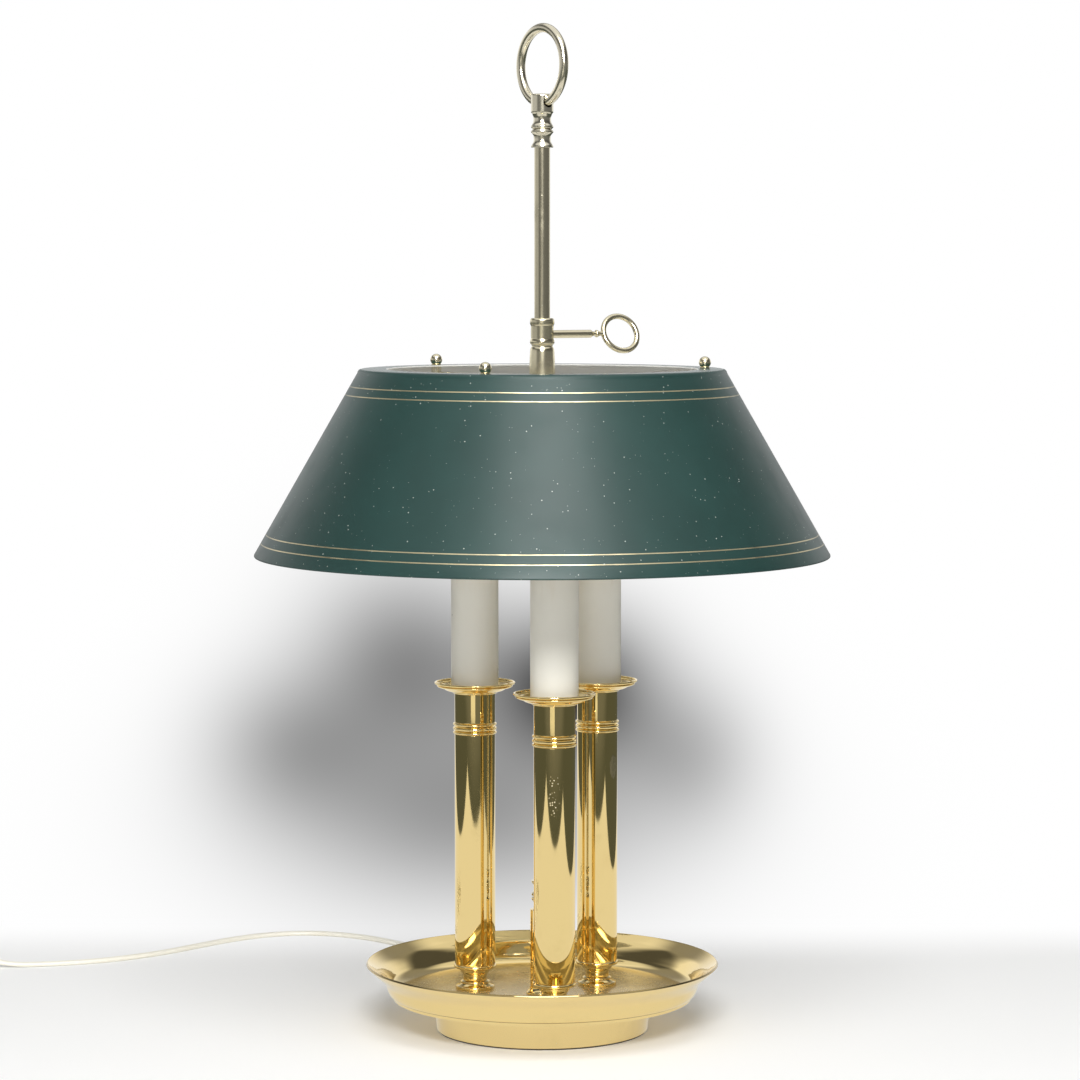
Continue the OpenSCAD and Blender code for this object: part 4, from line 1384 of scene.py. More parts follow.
@dataclass
class Foot(SubAssembly):
    """The brass foot ring on its felt, with the weight and the fixings inside."""

    radius: float = 66.0
    flare: float = 3.0
    low: float = 2.0
    top: float = 19.5
    wall: float = 2.5
    exit_z: float = MainsCord.exit[2]
    exit_r: float = 5.55
    felt_inset: float = 0.85
    bush_from: float = 61.1
    bush_wall: float = 67.6
    bush_end: float = MainsCord.exit[1]
    bush_flange: float = 6.7
    bush_ribs: int = 5
    bush_step: float = 3.7

    def build(self) -> None:
        """Makes the ring, with the hole for the cord, the felt and the bush."""
        r, t, z = self.radius, self.radius + self.flare, self.top
        side = smooth_way([(r, 3), (r + 0.35, 6), (r + 1.2, 10), (t - 0.45, 14.6)], 4)
        outline = softened([
            (r - self.wall - 1, self.low), (r - 0.75, self.low), (r - 0.7, 1.0), (r - 0.1, 1.0, 0.2), *side,
            (t, z - 3, 0.6), (t, z - 1.9, 0.5), (t - 1.6, z - 1.2, 0.3), (t - 1.6, z),
            (t - self.wall - 1.6, z), (r - self.wall - 1, 6),
        ])
        hole = rod("hole", self.exit_r, r - 16, r + 14)
        self.ring = cut(lathe("foot_rim", outline, around=240), self.through_wall(hole))
        self.felt = self.felt_pad(r - self.felt_inset, self.low)
        self.bush = self.through_wall(lathe("cord_bush", self.bush_outline(), around=72))

    def through_wall(self, piece: Thing) -> Thing:
        """Lays an upright piece along the cord, where it leaves the foot."""
        return moved(moved(piece, Axis.Y.lay()), shift(0, 0, self.exit_z))

    @staticmethod
    def felt_pad(r: float, thick: float) -> Thing:
        """Makes the felt, whose edge is cut a little unevenly.

        Args:
            r: its radius.
            thick: its thickness.

        Returns:
            The pad.
        """
        outline = [(0, 0.0), (r, 0.0, 0.3), (r + 0.05, thick / 2), (r, thick, 0.2), (0, thick)]
        felt = lathe("foot_felt_pad", softened(outline, 3, False), around=240, closed=False)
        for v in felt.data.vertices:
            if math.hypot(v.co.x, v.co.y) > 0.06:
                a = math.atan2(v.co.y, v.co.x)
                uneven = noise.noise(Vector((math.cos(a) * 14, math.sin(a) * 14, v.co.z * 900)))
                v.co.x *= 1 + 0.0045 * uneven
                v.co.y *= 1 + 0.0045 * uneven
        return felt

    def bush_outline(self) -> Outline:
        """Works out the outline of the bush.

        Returns:
            Its neck, its flange outside the wall, and its ribbed sleeve.
        """
        start, wall, end = self.bush_from, self.bush_wall, self.bush_end
        flange, neck = self.bush_flange, self.exit_r - 0.1
        ribs: Outline = []
        for k in range(self.bush_ribs):
            s, r = wall + 3.4 + k * self.bush_step, 5.35 - k * 0.27
            ribs += [(r, s), (r - 0.05, s + 2.3), (r - 0.85, s + 2.6), (r - 0.85, s + 3.4)]
        points = [
            (3.3, start), (neck, start, 0.3), (neck, wall), (flange, wall + 0.3, 0.3),
            (flange, wall + 2.0, 0.5), (5.5, wall + 2.5), *ribs, (4.05, end - 0.7, 0.3),
            (3.6, end, 0.2), (3.0, end), (2.8, start + 4),
        ]
        return softened(points, 3)

    def dress(self) -> None:
        """Dresses the foot and what it holds."""
        finished(self.ring, FINISH.foot, Body.LAMP, "foot_ring")
        finished(self.felt, FINISH.felt, Body.LAMP, "felt_pad")
        finished(self.bush, FINISH.rubber, Body.LAMP, "cord_grommet")
        kept(FINISH.iron, "base_weight")
        kept(FINISH.ivory, "terminal_block")
        kept(FINISH.wire, "inner_lead", *(f"inner_wire_{i}" for i in (1, 2, 3)))
        kept(FINISH.zinc, "base_nuts", *(f"tie_tube_{i}" for i in (1, 2, 3)))


@dataclass
class Dish(SubAssembly):
    """The turned dish with its flared rim."""

    bottom: float = Foot.top
    wall: float = 3.0
    rim_r: float = 110.0
    bowl_r: float = 97.5
    floor_r: float = 77.0
    height: float = 23.1
    waist: float = 8.5

    def build(self) -> None:
        """Turns the dish."""
        b, f, rim, bowl, floor = self.bottom, self.bottom + self.wall, self.rim_r, self.bowl_r, self.floor_r
        top, waist = b + self.height, b + self.waist
        under = [(floor + 1, b + 0.3), (floor + 8, b + 0.6), (bowl - 5.4, b + 0.8)]
        step = [
            (bowl - 4.1, b + 1.0, 0.4), (bowl - 3.9, b + 3.0, 0.25),
            (bowl - 2.5, b + 3.4, 0.35), (bowl - 1.3, b + 4.9, 0.5),
        ]
        flare = [
            (bowl - 0.5, waist - 1.6), (bowl, waist + 0.2), (bowl + 0.8, waist + 2.3),
            (bowl + 2.4, waist + 4.4), (bowl + 4.9, top - 7.8), (rim - 3.4, top - 4.3),
            (rim - 0.8, top - 1.7),
        ]
        edge = [(rim, top - 0.95, 0.25), (rim - 0.75, top - 0.08, 0.4), (rim - 1.1, top - 0.05, 0.2)]
        lip = [
            (rim - 1.9, top - 0.8), (rim - 4.9, top - 2.9), (rim - 7.6, top - 4.7), (rim - 9.4, top - 6.4),
            (bowl + 1.1, top - 9.2), (bowl - 0.9, top - 12.6),
        ]
        cove = [
            (bowl - 2.5, top - 15.2), (bowl - 5.2, f + 2.9), (bowl - 9.5, f + 1.4), (bowl - 14.5, f + 0.5),
            (floor + 1.5, f + 0.1),
        ]
        outside = [(0, b), (floor - 8, b), *smooth_way(under, 5), *step, *smooth_way(flare, 5), *edge]
        inside = [*smooth_way([*lip, *cove]), (floor - 0.4, f), (0, f)]
        outline = softened([*outside, *inside], closed=False)
        self.dish = lathe("dish", outline, around=360, closed=False, crease=40)

    def dress(self) -> None:
        """Dresses the dish, with dust on its floor, a dark line round its rim and painted shade in its step.
        """
        bottom, top, bowl = self.bottom, self.bottom + self.height, self.bowl_r
        brass = replace(
            FINISH.dish, floor_z=bottom + self.wall + 2.5, rim_r=self.rim_r - 1.4, rim_z=top - 1.4,
            step_shade_z=bottom + 3.15, step_shade_r=(bowl - 4.1, bowl - 2.4),
        )
        finished(self.dish, brass, Body.LAMP, "base_dish")


@dataclass
class Column(SubAssembly):
    """One column with its pan, candle and lamp.

    Args:
        number: 1 for the front column, counted against the clock.
    """

    number: int
    circle_r: float = 45.0
    turn: float = 9.5
    foot_z: float = Dish.bottom + Dish.wall
    pedestal_h: float = 16.0
    tube_r: float = 12.7
    tube_l: float = 145.5
    beads_h: float = 7.3
    cup_h: float = 18.2
    pan_h: float = 7.2
    pan_r: float = 25.3
    pan_floor: float = 1.8
    candle_r: float = 14.8
    candle_h: float = 90.0
    bore_r: float = 5.3
    glass_r: float = 17.5
    glass_l: float = 76.0
    glass_sunk: float = 6.0

    def at(self) -> Point:
        """The column's axis, seen from above."""
        a = math.radians(self.turn + 120 * (self.number - 1))
        return self.circle_r * math.sin(a), -self.circle_r * math.cos(a)

    def turned(self, name: str, outline: Sequence[Point]) -> Thing:
        """Turns an outline about the column's axis, under a numbered name."""
        return lathe(f"{name}_{self.number}", softened(outline), self.at(), 144)

    def build(self) -> None:
        """Turns every piece of the column, from its foot up."""
        z, r, c = self.foot_z, self.tube_r, self.candle_r
        self.pedestal = self.turned("pedestal_turning", self.pedestal_outline(z))
        z += self.pedestal_h
        top = z + self.tube_l
        self.tube = self.turned("tube", [(r - 1, z), (r, z, 0.15), (r, top, 0.15), (r - 1, top)])
        self.beads = self.turned("beads", self.beads_outline(top))
        z = top + self.beads_h
        top = z + self.cup_h
        inner = [(self.bore_r, top), (self.bore_r, top - 2), (r - 1.4, top - 2)]
        self.cup = self.turned("cup", [(r - 1, z), (r, z, 0.1), (r, top, 0.1), *inner])
        self.pan = self.turned("pan", self.pan_outline(top))
        self.candle_z = z = top + self.pan_floor
        top = z + self.candle_h
        self.candle = self.turned("candle", [(c - 1, z), (c, z, 0.15), (c, top, 0.45), (c - 1, top, 0.45)])
        self.glass = self.candle_lamp(z + (self.candle_h - self.glass_sunk))

    def pedestal_outline(self, z: float) -> Outline:
        """Works out the pedestal's outline.

        Args:
            z: height of its foot.

        Returns:
            A plinth, two beads, a neck and a wide bead.
        """
        r, bore = self.tube_r, self.bore_r
        neck = [(7.6, 5.5), (7.5, 6.6), (7.7, 8.2), (8.4, 9.8), (9.4, 11.2), (10.1, 12.5)]
        return [
            (bore, z), (12.2, z, 0.2), (12.2, z + 0.85, 0.15), *bead(11.65, z + 1.45, 0.68, -40, 75, 7),
            (10.4, z + 2.3, 0.3), (9.4, z + 3.3, 0.4), *bead(8.6, z + 4.3, 0.8, -50, 95, 8),
            *smooth_way([(x, z + h) for x, h in neck], 4), (r - 0.9, z + 13.0, 0.3),
            *bead(12.1, z + 14.5, 1.3, -72, 72), (r - 0.2, z + 16), (bore, z + 16),
        ]

    def beads_outline(self, z: float) -> Outline:
        """Works out the outline of the beads on the tube.

        Args:
            z: height of their lower end.

        Returns:
            The three beads, with the middle one the largest.
        """
        r, bore, h = self.tube_r, self.bore_r, self.beads_h
        return [
            (bore, z), (r - 0.1, z), *bead(r + 0.3, z + h * 0.12, h * 0.1, -85, 85, 8),
            (r - 0.25, z + h * 0.26), *bead(r - 0.25, z + h * 0.47, h * 0.17, -80, 80),
            (r - 0.25, z + h * 0.69), *bead(r + 0.3, z + h * 0.84, h * 0.1, -85, 85, 8),
            (r - 0.1, z + h), (bore, z + h),
        ]

    def pan_outline(self, z: float) -> Outline:
        """Works out the drip pan's outline.

        Args:
            z: height of its lower side.

        Returns:
            A seat, a dished wall and a beaded rim.
        """
        r, bore, c, p, f = self.tube_r, self.bore_r, self.candle_r, self.pan_r, self.pan_floor
        rim = 0.72
        return [
            (bore, z), (r + 0.9, z, 0.3), (r + 1.3, z + 0.5, 0.2), (r + 1.3, z + 1.0, 0.15),
            (r + 3, z + 1.25, 0.8), (p - 7.2, z + 1.9, 1.0), (p - 5.6, z + 3.0, 0.6),
            (p - 5.1, z + 3.4, 0.2), (p - 3.6, z + 3.5, 0.8), (p - 1.7, z + 4.2, 0.3),
            (p - 1.5, z + 4.9, 0.3), (p - 2.3, z + 5.3, 0.2),
            *bead(p - rim, z + self.pan_h - rim, rim, -60, 205, 11), (p - 2.2, z + 5.5, 0.6),
            (p - 4.4, z + 4.9, 0.8), (p - 7.4, z + 3.6, 1), (c + 0.9, z + 2.4, 0.5), (c + 0.4, z + f, 0.2),
            (bore, z + f),
        ]

    def candle_lamp(self, z: float) -> Thing:
        """Turns the candle lamp's glass.

        Args:
            z: height of its foot.

        Returns:
            The glass.
        """
        g, h = self.glass_r, self.glass_l
        shape = [
            (6.4, 0), (7.6, 0.05), (g * 0.62, 0.13), (g * 0.87, 0.24), (g * 0.98, 0.34), (g, 0.42),
            (g * 0.97, 0.51), (g * 0.86, 0.63), (g * 0.67, 0.75), (g * 0.44, 0.86), (g * 0.24, 0.94),
            (g * 0.09, 0.99),
        ]
        skin = [(0.0, z), *smooth_way([(x, z + h * share) for x, share in shape], 4), (0.0, z + h)]
        return lathe(f"candle_lamp_{self.number}", skin, self.at(), 96, False)

    def dress(self) -> None:
        """Dresses the column."""
        i = self.number
        finished(self.pedestal, FINISH.brass, Body.LAMP, f"pedestal_{i}")
        finished(self.tube, FINISH.tubes[i - 1], Body.LAMP, f"column_tube_{i}")
        finished(self.beads, FINISH.brass, Body.LAMP, f"column_beads_{i}")
        finished(self.cup, FINISH.brass, Body.LAMP, f"column_cup_{i}")
        finished(self.pan, FINISH.pans, Body.LAMP, f"drip_pan_{i}")
        paint = replace(FINISH.candles[i - 1], low=self.candle_z, top=self.candle_z + self.candle_h)
        finished(self.candle, paint, Body.LAMP, f"candle_sleeve_{i}")
        finished(self.glass, FINISH.glass, Body.LAMP, f"lamp_glass_{i}")
        kept(FINISH.ivory, f"lampholder_{i}")
        kept(FINISH.nickel, f"lamp_cap_{i}")


@dataclass
class CentreRod(SubAssembly):
    """The post between the columns, the long rod, and the finial with its ring."""

    rod_r: float = 4.9
    rod_low: float = 4.0
    rod_top: float = 557.8
    bore_gap: float = 0.06
    post_z: float = Dish.bottom + Dish.wall
    post_r: float = 7.6
    post_top: float = 75.5
    collar_h: float = 18.2
    turned_r: float = 6.95
    finial_z: float = rod_top - 9.0
    finial_h: float = 20.6
    block_h: float = 12.2
    ring_z: float = 599.0
    ring_r: float = 23.0
    ring_wire_r: float = 2.85
    ring_gap: float = 0.55
    ring_turn: float = -55.0

    def beads_and_neck(self, z: float, h: float, flip: bool) -> Outline:
        """The outline that the post's collar and the finial share.

        Args:
            z: height of its lower end.
            h: its height.
            flip: whether it stands upside down.

        Returns:
            Points from the lower end to the upper end.
        """
        r = self.turned_r
        neck = [(r - 0.5, 1.6), (r - 1.4, 3.2), (r - 1.7, 5), (r - 1.6, h * 0.36)]
        top = [(r - 1.2, h * 0.73), (r - 1.5, h * 0.8), (r - 1.5, h * 0.9), (r - 1.1, h * 0.96)]
        shape = [
            (r - 0.3, 0.0), (r - 0.12, 0.25), (r - 0.05, 0.6), (r - 0.15, 1.1), *smooth_way(neck, 4),
            *bead(r - 0.8, h * 0.47, 0.85, -60, 80, 9), (r - 1.02, h * 0.545),
            *bead(r - 1.1, h * 0.62, 1.1, -60, 60, 9), *smooth_way(top, 3), (r - 0.8, h),
        ]
        return [(x, z + h - y) for x, y in reversed(shape)] if flip else [(x, z + y) for x, y in shape]

    def build(self) -> None:
        """Turns the rod's pieces and bends the ring."""
        z, r, bore, top = self.post_z, self.post_r, self.rod_r + self.bore_gap, self.post_top
        post = softened([
            (bore, z), (r + 2.4, z, 0.2), (r + 2.4, z + 0.8, 0.3), (r + 1.2, z + 1.8, 0.6),
            (r, z + 3.6, 1.2), (r, top, 0.3), (bore, top),
        ])
        self.post = lathe("rod_post", post, around=120)
        collar = [(bore, top), *self.beads_and_neck(top, self.collar_h, True), (bore, top + self.collar_h)]
        self.collar = lathe("rod_collar", collar, around=120)
        self.rod = rod("long_rod", self.rod_r, self.rod_low, self.rod_top, around=120)
        z, t = self.finial_z + self.finial_h, self.turned_r
        top = z + self.block_h
        head = [(t - 0.85, z), (t, z + 0.9, 0.5), (t, top - 0.75, 0.5), (t - 0.75, top, 0.4), (0, top)]
        finial = [(0, self.finial_z), *self.beads_and_neck(self.finial_z, self.finial_h, False)]
        finial += softened(head, closed=False)
        hole = rod("hole", self.ring_wire_r + self.ring_gap, -10, 10, around=64)
        along = shift(0, 0, self.ring_z - self.ring_r + 0.5) @ turn("Z", self.ring_turn) @ Axis.X.lay()
        self.finial = cut(lathe("finial_turning", finial, around=144, closed=False), moved(hole, along))
        place = shift(0, 0, self.ring_z) @ turn("Z", self.ring_turn) @ turn("X", 90)
        self.ring = ring_of_wire("top_ring", self.ring_r, self.ring_wire_r, place)

    def dress(self) -> None:
        """Dresses the rod and the finial."""
        finished(self.post, FINISH.brass, Body.LAMP, "centre_post")
        finished(self.collar, FINISH.turned, Body.LAMP, "post_collar")
        finished(self.rod, FINISH.rod, Body.LAMP, "rod")
        finished(self.finial, FINISH.turned, Body.LAMP, "finial")
        finished(self.ring, FINISH.ring, Body.LAMP, "finial_ring")


@dataclass
class Shade(SubAssembly):
    """The painted shade with its ball nuts, on the sleeve that slides on the rod."""

    low_r: float = 178.3
    top_r: float = 114.0
    hole_r: float = 95.5
    low_z: float = 297.3
    top_z: float = 412.8
    sheet: float = 0.7
    ball_circle_r: float = 103.2
    ball_turn: float = -19.1
    ball_r: float = 3.8
    sleeve_z: float = 400.1
    skirt_z: float = 409.2
    sleeve_top: float = 444.1
    sleeve_r: float = 7.6
    bore_r: float = CentreRod.rod_r + CentreRod.bore_gap
    sides: int = 300
    slope_steps: int = 12

    def shell(self) -> Thing:
        """Turns the shell, painted outside and on top and white inside.

        Returns:
            The shell.
        """
        slope = math.atan((self.low_r - self.top_r) / (self.top_z - self.low_z))
        dx = self.sheet / math.cos(slope)
        z, t, low, r, hole = self.top_z, self.top_r, self.low_z, self.low_r, self.hole_r
        foot, head = (r - 0.1, low + 1.1), (t + 0.75, z - 3.4)
        shares = [k / self.slope_steps for k in range(self.slope_steps + 1)]
        shoulder = [(t + 0.3, z - 2.6), (t - 0.25, z - 1.2), (t - 1.1, z - 0.35), (t - 2.4, z)]
        outside = [
            *bead(r - 0.62, low + 0.6, 0.6, -90, 20, 6),
            *((foot[0] + (head[0] - foot[0]) * s, foot[1] + (head[1] - foot[1]) * s) for s in shares),
            *smooth_way(shoulder, 3),
        ]
        top = [(hole + 0.9, z), (hole + 0.35, z - 0.05)]
        lip = [(hole, z - 0.3), (hole, z - self.sheet)]
        inside = [
            (t - 2.6 - dx, z - self.sheet), (t - 1.2 - dx, z - 1.1), (t - 0.4 - dx, z - 2.6),
            (r - dx - 0.9, low + 2.2), (r - dx - 1.2, low + 1.7), (r - dx - 1.2, low + 0.3), (r - 1.0, low),
        ]
        outline = [*outside, *top, *lip, *inside]
        shell = lathe("shade_cone", outline, around=self.sides, crease=60, brace=False)
        paint = replace(FINISH.paint, low_z=low, top_z=z, top_r=t)
        for finish in (paint, FINISH.top, FINISH.lip, FINISH.inner):
            shell.data.materials.append(finish.made())
        ends = (len(outside) - 2, len(outside), len(outside) + len(top) + len(lip) - 1)
        for face in shell.data.polygons:
            face.material_index = sum(face.index // self.sides >= end for end in ends)
        return shell

    def ball_nut(self, number: int) -> Thing:
        """Turns one of the three ball nuts on the shade's flat top.

        Args:
            number: which of the three, from 0.

        Returns:
            The nut.
        """
        a = math.radians(self.ball_turn + 120 * number - 90)
        at = (self.ball_circle_r * math.cos(a), self.ball_circle_r * math.sin(a))
        z, r, base, neck = self.top_z, self.ball_r, 3.1, 2.35
        foot = [(0, z), (base, z), (base, z + 0.5), (neck, z + 0.72)]
        return lathe("ball", [*foot, *bead(0, z + r - 0.45, r, -52, 90, 16)], at, 72, False)

    def sleeve_outline(self) -> Outline:
        """Works out the outline of the sleeve.

        Returns:
            Its neck in the hub, a tapering skirt and two collars.
        """
        t, r, bore, skirt_z = self.sleeve_top, self.sleeve_r, self.bore_r, self.skirt_z
        neck = r - 0.96
        skirt = smooth_way([(r + 0.4, skirt_z + 1), (r + 0.25, t - 26), (r - 0.05, t - 19.6)], 5)
        return softened([
            (bore, self.sleeve_z), (neck, self.sleeve_z, 0.3), (neck, skirt_z), (r + 0.4, skirt_z, 0.2),
            *skirt, (r - 0.4, t - 18.5, 0.4), (r - 1.05, t - 17.7, 0.3), (r - 1.05, t - 16.5, 0.3),
            (r - 0.25, t - 15.9, 0.3), (r, t - 15.1, 0.4), (r, t - 14.1, 0.4), (r - 0.3, t - 13.3, 0.3),
            (r - 0.55, t - 12.8, 0.3), (r - 0.55, t - 4.6, 0.3), (r - 0.25, t - 4.05, 0.3), (r, t - 3.1, 0.5),
            (r, t - 1.2, 0.5), (r - 0.5, t - 0.4, 0.3), (r - 1.1, t, 0.2), (bore, t),
        ])

    def build(self) -> None:
        """Makes the shell, the ball nuts and the sleeve."""
        self.cone = self.shell()
        self.balls = joined("ball_nut_set", *(self.ball_nut(i) for i in range(3)))
        self.sleeve = lathe("rod_sleeve", self.sleeve_outline(), around=120)

    def dress(self) -> None:
        """Dresses the shade, the spider and the sleeve."""
        ridden(self.cone, FINISH.paint.slot, Body.SHADE, "shade_shell")
        finished(self.balls, FINISH.sleeve, Body.SHADE, "ball_nuts")
        finished(self.sleeve, FINISH.sleeve, Body.SLIDER, "shade_sleeve")
        kept(FINISH.turned, "shade_spider", "hub_nut")


@dataclass
class ThumbKey(SubAssembly):
    """The thumb key with its ring, which clamps the sleeve to the rod."""

    height: float = Shade.sleeve_top - 10.0
    turn: float = 27.0
    tip: float = CentreRod.rod_r + 0.05
    screw_r: float = 2.5
    shank: float = 34.5
    eye: float = 41.3
    ring_at: float = 54.65
    ring_r: float = 11.6
    wire_r: float = 1.75
    lean: float = 24.0

    def build(self) -> None:
        """Turns the shank and bends the ring at its end."""
        k, r, tip = self.shank, self.screw_r, self.tip
        outline = [
            (0, tip), (r - 0.4, tip), (r, tip + 0.6), (r, k - 0.6, 0.4), (r - 0.7, k, 0.3),
            (r - 1.2, k + 1.2, 0.5), *bead(r - 1.35, k + 3.5, 1.2, -70, 70, 8), (r - 1.1, k + 5.5, 0.5),
            (r - 0.95, self.eye + 0.9), (0, self.eye + 1.2),
        ]
        place = shift(0, 0, self.height) @ turn("Z", self.turn)
        shank = lathe("shank", softened(outline, closed=False), around=72, closed=False)
        shank = moved(shank, place @ Axis.X.lay())
        leaning = place @ shift(self.ring_at, 0, 0) @ turn("X", 90 - self.lean)
        self.key = joined("thumb_key", shank, ring_of_wire("eye", self.ring_r, self.wire_r, leaning, 108, 24))

    def dress(self) -> None:
        """Dresses the key."""
        finished(self.key, FINISH.sleeve, Body.KEY, "shade_key")


# ---- Studio ----

WHITE = (1.0, 1.0, 1.0)
BLACK = (0.0, 0.0, 0.0)


@dataclass
class Studio:
    """The camera, the pale table, the backdrop and the lights. Lengths are in metres."""

    lens: float = 125.0
    camera_at: Point = (-0.001364, -2.318079, 0.485967)
    camera_pitch: float = 85.578
    table_half: float = 12.0
    table_left: float = -0.824
    table_right: float = 0.65
    table_front: float = -0.825
    table_white: Colour = (0.9, 0.89, 0.86)
    wall_y: float = 0.62
    wall_half: float = 0.5
    wall_way: tuple[Point, ...] = (
        (0.37, 0.0004), (0.44, 0.004), (0.51, 0.022), (0.565, 0.055),
        (0.60, 0.1), (0.615, 0.16), (0.62, 0.25), (0.62, 0.62),
    )
    card_left: Point = (-0.62, -1.44)
    card_right: Point = (0.04, -1.5)
    card_h: float = 0.4
    shadows: tuple[tuple[float, float, float, float, float], ...] = (
        (-0.108, 0.169, 0.081, 0.079, 0.65),
        (0.028, 0.148, 0.071, 0.065, 0.85),
        (-0.205, 0.100, 0.068, 0.063, 0.38),
        (-0.059, 0.039, 0.168, 0.082, 0.63),
        (0.121, 0.092, 0.056, 0.060, 0.35),
    )

    def camera(self) -> None:
        """Sets the camera at the photograph's angle."""
        data = bpy.data.cameras.new("camera")
        data.lens, data.sensor_width, data.clip_end = self.lens, 36.0, 60.0
        made = placed("camera", data)
        made.location = self.camera_at
        made.rotation_euler = (math.radians(self.camera_pitch), 0, 0)
        bpy.context.scene.camera = made
        bpy.context.scene.view_settings.view_transform = "Standard"

    @staticmethod
    def flat(name: str, points: Sequence[Point], faces: Sequence[Sequence[int]]) -> tuple[Thing, Desk]:
        """Makes a stage piece from points in metres.

        Args:
            name: the piece's name.
            points: its points.
            faces: point numbers of each face.

        Returns:
            The piece, and the desk for its material.
        """
        mesh = bpy.data.meshes.new(name)
        mesh.from_pydata([list(p) for p in points], [], [list(f) for f in faces])
        mesh.shade_smooth()
        made = placed(name, mesh)
        material = bpy.data.materials.new(f"{name}_white")
        material.use_nodes = True
        mesh.materials.append(material)
        return made, Desk(material.node_tree)

    def soft_shadow(self, x: Wire, y: Wire, z: Wire) -> Wire:
        """White, darkened where the lamp's soft shadow falls on the table and the wall.

        Args:
            x: across, in metres.
            y: back, in metres.
            z: up, in metres.

        Returns:
            The colour. It is that of the point of the wall in line with the camera.
        """
        _, from_y, from_z = self.camera_at
        reach = (self.wall_y - from_y) / (y - from_y)
        across, up = x * reach, from_z - (from_z - z) * reach
        dark: Any = 0.0
        for x0, z0, wide, tall, depth in self.shadows:
            u, v = (across - x0) / wide, (up - z0) / tall
            dark = (u * u + v * v).falling() * depth + dark
        return x.desk.mix(dark.smaller(1.0) * self.faced(x.desk), WHITE, BLACK)

    @staticmethod
    def faced(desk: Desk) -> Wire:
        """1 where the stage is seen from the front, as in the photograph, and 0 from other sides."""
        _, towards, _ = desk.axes(desk.node("ShaderNodeNewGeometry", out="Incoming"), 1.0)
        return towards.over(-0.94, -0.965)

    def card(self) -> None:
        """Stands the narrow bright card in front of the lamp that only reflections show."""
        left, right, h = self.card_left, self.card_right, self.card_h
        made, desk = self.flat("card", [(*left, 0), (*right, 0), (*right, h), (*left, h)], [(0, 1, 2, 3)])
        desk.surface(desk.glow((0.95, 0.93, 0.84)))
        made.visible_camera = made.visible_diffuse = made.visible_shadow = False

    def on_table(self, x: Wire, y: Wire) -> Wire:
        """Masks the table as reflections show it, with its edges a little aslant.

        Args:
            x: across, in metres.
            y: back, in metres.

        Returns:
            1 on the table and 0 past its edges.
        """
        soft = 0.01
        left = (x - y * 0.042).over(self.table_left - soft, self.table_left + soft)
        right = (x + y * 0.218).over(self.table_right + soft, self.table_right - soft)
        front = (y - x * 0.06).over(self.table_front - soft * 1.2, self.table_front + soft * 1.2)
        return left * right * front

    def floor(self) -> None:
        """Lays the table top, white far from the lamp and dark past its edges in reflections."""
        s = self.table_half
        _, desk = self.flat("table", [(-s, -s, 0), (s, -s, 0), (s, s, 0), (-s, s, 0)], [(0, 1, 2, 3)])
        x, y, z = desk.axes(desk.place(), 1.0)
        ray = desk.node("ShaderNodeLightPath")
        far = (x * x + y * y) ** 0.5
        white = desk.glow(self.soft_shadow(x, y, z))
        matt = desk.node("ShaderNodeBsdfDiffuse", inputs={"Color": (0.86, 0.86, 0.85)})
        lit = desk.node("ShaderNodeAddShader", inputs={0: matt, 1: desk.glow(WHITE, 0.12)})
        seen = desk.either(far.over(0.3, 0.9).larger(y.over(0.2, 0.365)), lit, white)
        on_table = self.on_table(x, y)
        room = desk.mix(y.over(-0.8, -1.5), (0.1, 0.11, 0.095), (0.18, 0.19, 0.18))
        mirrored = desk.glow(desk.mix(on_table, room, self.table_white))
        mirrored = desk.either(far.over(0.35, 0.15) * on_table * 0.4, mirrored, matt)
        other = desk.either(ray.output("Is Glossy Ray"), matt, mirrored)
        under = desk.node("ShaderNodeNewGeometry", out="Backfacing")
        seen = desk.either(under, seen, desk.node("ShaderNodeBsdfTransparent"))
        desk.surface(desk.either(ray.output("Is Camera Ray"), other, seen))

    def backdrop(self) -> None:
        """Hangs the backdrop, with the soft shadow that falls behind the shade."""
        way = smooth_way(self.wall_way, 4)
        points = [(x, *p) for p in way for x in (-self.wall_half, self.wall_half)]
        faces = [(2 * i, 2 * i + 1, 2 * i + 3, 2 * i + 2) for i in range(len(way) - 1)]
        _, desk = self.flat("backdrop", points, faces)
        glow = desk.glow(self.soft_shadow(*desk.axes(desk.place(), 1.0)))
        clear = desk.node("ShaderNodeBsdfTransparent")
        ray = desk.node("ShaderNodeLightPath")
        back = desk.node("ShaderNodeNewGeometry", out="Backfacing")
        shown = ray.output("Is Camera Ray") * (1 - back) * self.faced(desk)
        desk.surface(desk.either(shown, clear, glow))

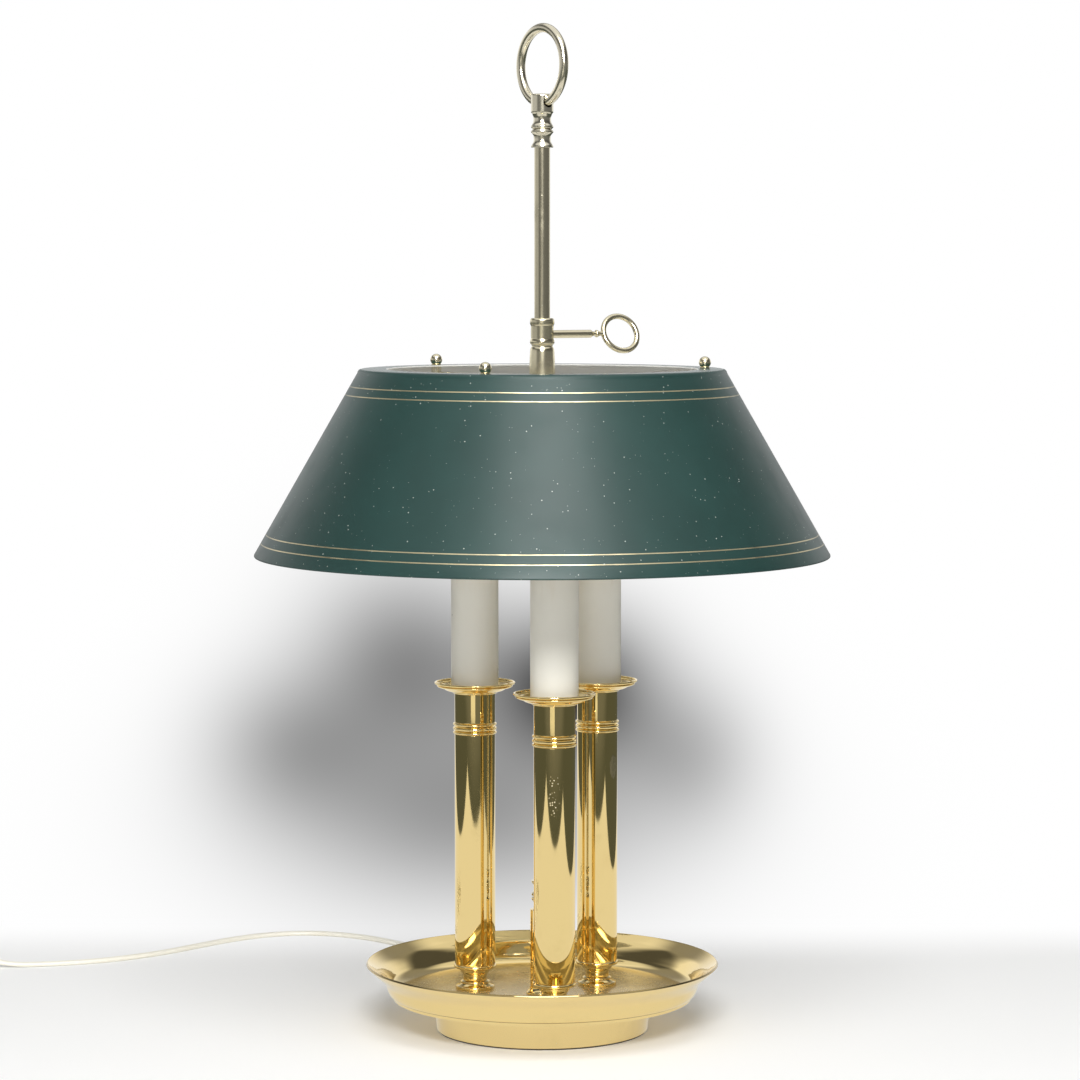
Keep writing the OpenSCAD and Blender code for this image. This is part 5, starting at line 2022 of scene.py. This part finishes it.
    def world(self) -> None:
        """Lights the room: white to the camera, and in reflections dark in front and white behind."""
        world = bpy.data.worlds.new("studio")
        bpy.context.scene.world = world
        world.use_nodes = True
        desk = Desk(world.node_tree)
        x, y, z = desk.axes(desk.node("ShaderNodeTexCoord", out="Generated"), 1.0)
        ray = desk.node("ShaderNodeLightPath")
        behind = y.over(0.42, 0.62) * (z.over(0.45, 0.2) * 0.6 + 0.2)
        left = x.over(-0.35, -0.62) * y.over(-0.75, -0.45) * z.over(0.5, 0.2)
        gap = (x / y).far_from(-0.08).over(0.24, 0.16) * y.over(-0.3, -0.5)
        gap = gap * z.over(0.02, 0.05) * z.over(0.8, 0.65)
        ceiling = z.over(0.62, 0.78)
        bright = behind + left * 0.42 + gap * 0.5 + ceiling * 0.75 + z.over(0.3, 0.04) * 0.1 + 0.09
        room = desk.mix(bright.smaller(1.0), BLACK, WHITE)
        soft = desk.mix(ray.output("Is Glossy Ray"), (0.28, 0.28, 0.28), room)
        seen = desk.mix(ray.output("Is Camera Ray"), soft, WHITE)
        lit = desk.node("ShaderNodeBackground", inputs={"Color": seen, "Strength": 1.0})
        desk.node("ShaderNodeOutputWorld", inputs={"Surface": lit})

    @staticmethod
    def softbox(name: str, at: Point, towards: Point, size: Point, power: float, glossy: bool = True) -> None:
        """Hangs a rectangular lamp.

        Args:
            name: the lamp's name.
            at: its place.
            towards: the point that it faces.
            size: its width and height.
            power: its power in watts.
            glossy: whether reflections show it.
        """
        data = bpy.data.lights.new(name, "AREA")
        data.shape, data.energy = "RECTANGLE", power
        data.size, data.size_y = size
        made = placed(name, data)
        made.location = at
        made.rotation_euler = (Vector(towards) - Vector(at)).to_track_quat("-Z", "Y").to_euler()
        made.visible_glossy = glossy
        made.visible_camera = False

    def lights(self) -> None:
        """Hangs the lamps."""
        self.softbox("overhead", (0.12, -1.3, 2.2), (0, 0, 0.3), (1.3, 1.2), 26)
        self.softbox("front", (0.0, -2.3, 1.4), (0, 0, 0.2), (0.8, 0.45), 46)
        self.softbox("left fill", (-1.5, -2.0, 0.6), (0, 0, 0.25), (1.0, 1.0), 3, False)

    def build(self) -> None:
        """Sets up all but the camera."""
        self.floor()
        self.card()
        self.backdrop()
        self.world()
        self.lights()


def main() -> None:
    """Builds the studio and the lamp."""
    logging.basicConfig(level=logging.INFO, format="%(name)s: %(message)s")
    studio = Studio()
    studio.camera()
    cord, switch, plug = MainsCord(), CordSwitch(), Plug()
    parts: list[SubAssembly] = [cord, switch, plug, Foot(), Dish(), *(Column(i) for i in (1, 2, 3))]
    for part in [*parts, CentreRod(), Shade(), ThumbKey()]:
        part.build()
        part.dress()
    on_switch = [switch.lower, switch.upper, switch.screws, switch.rocker]
    cord.declare(on_switch, [plug.body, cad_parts["plug_pins"]])
    studio.build()


if __name__ == "__main__":
    main()
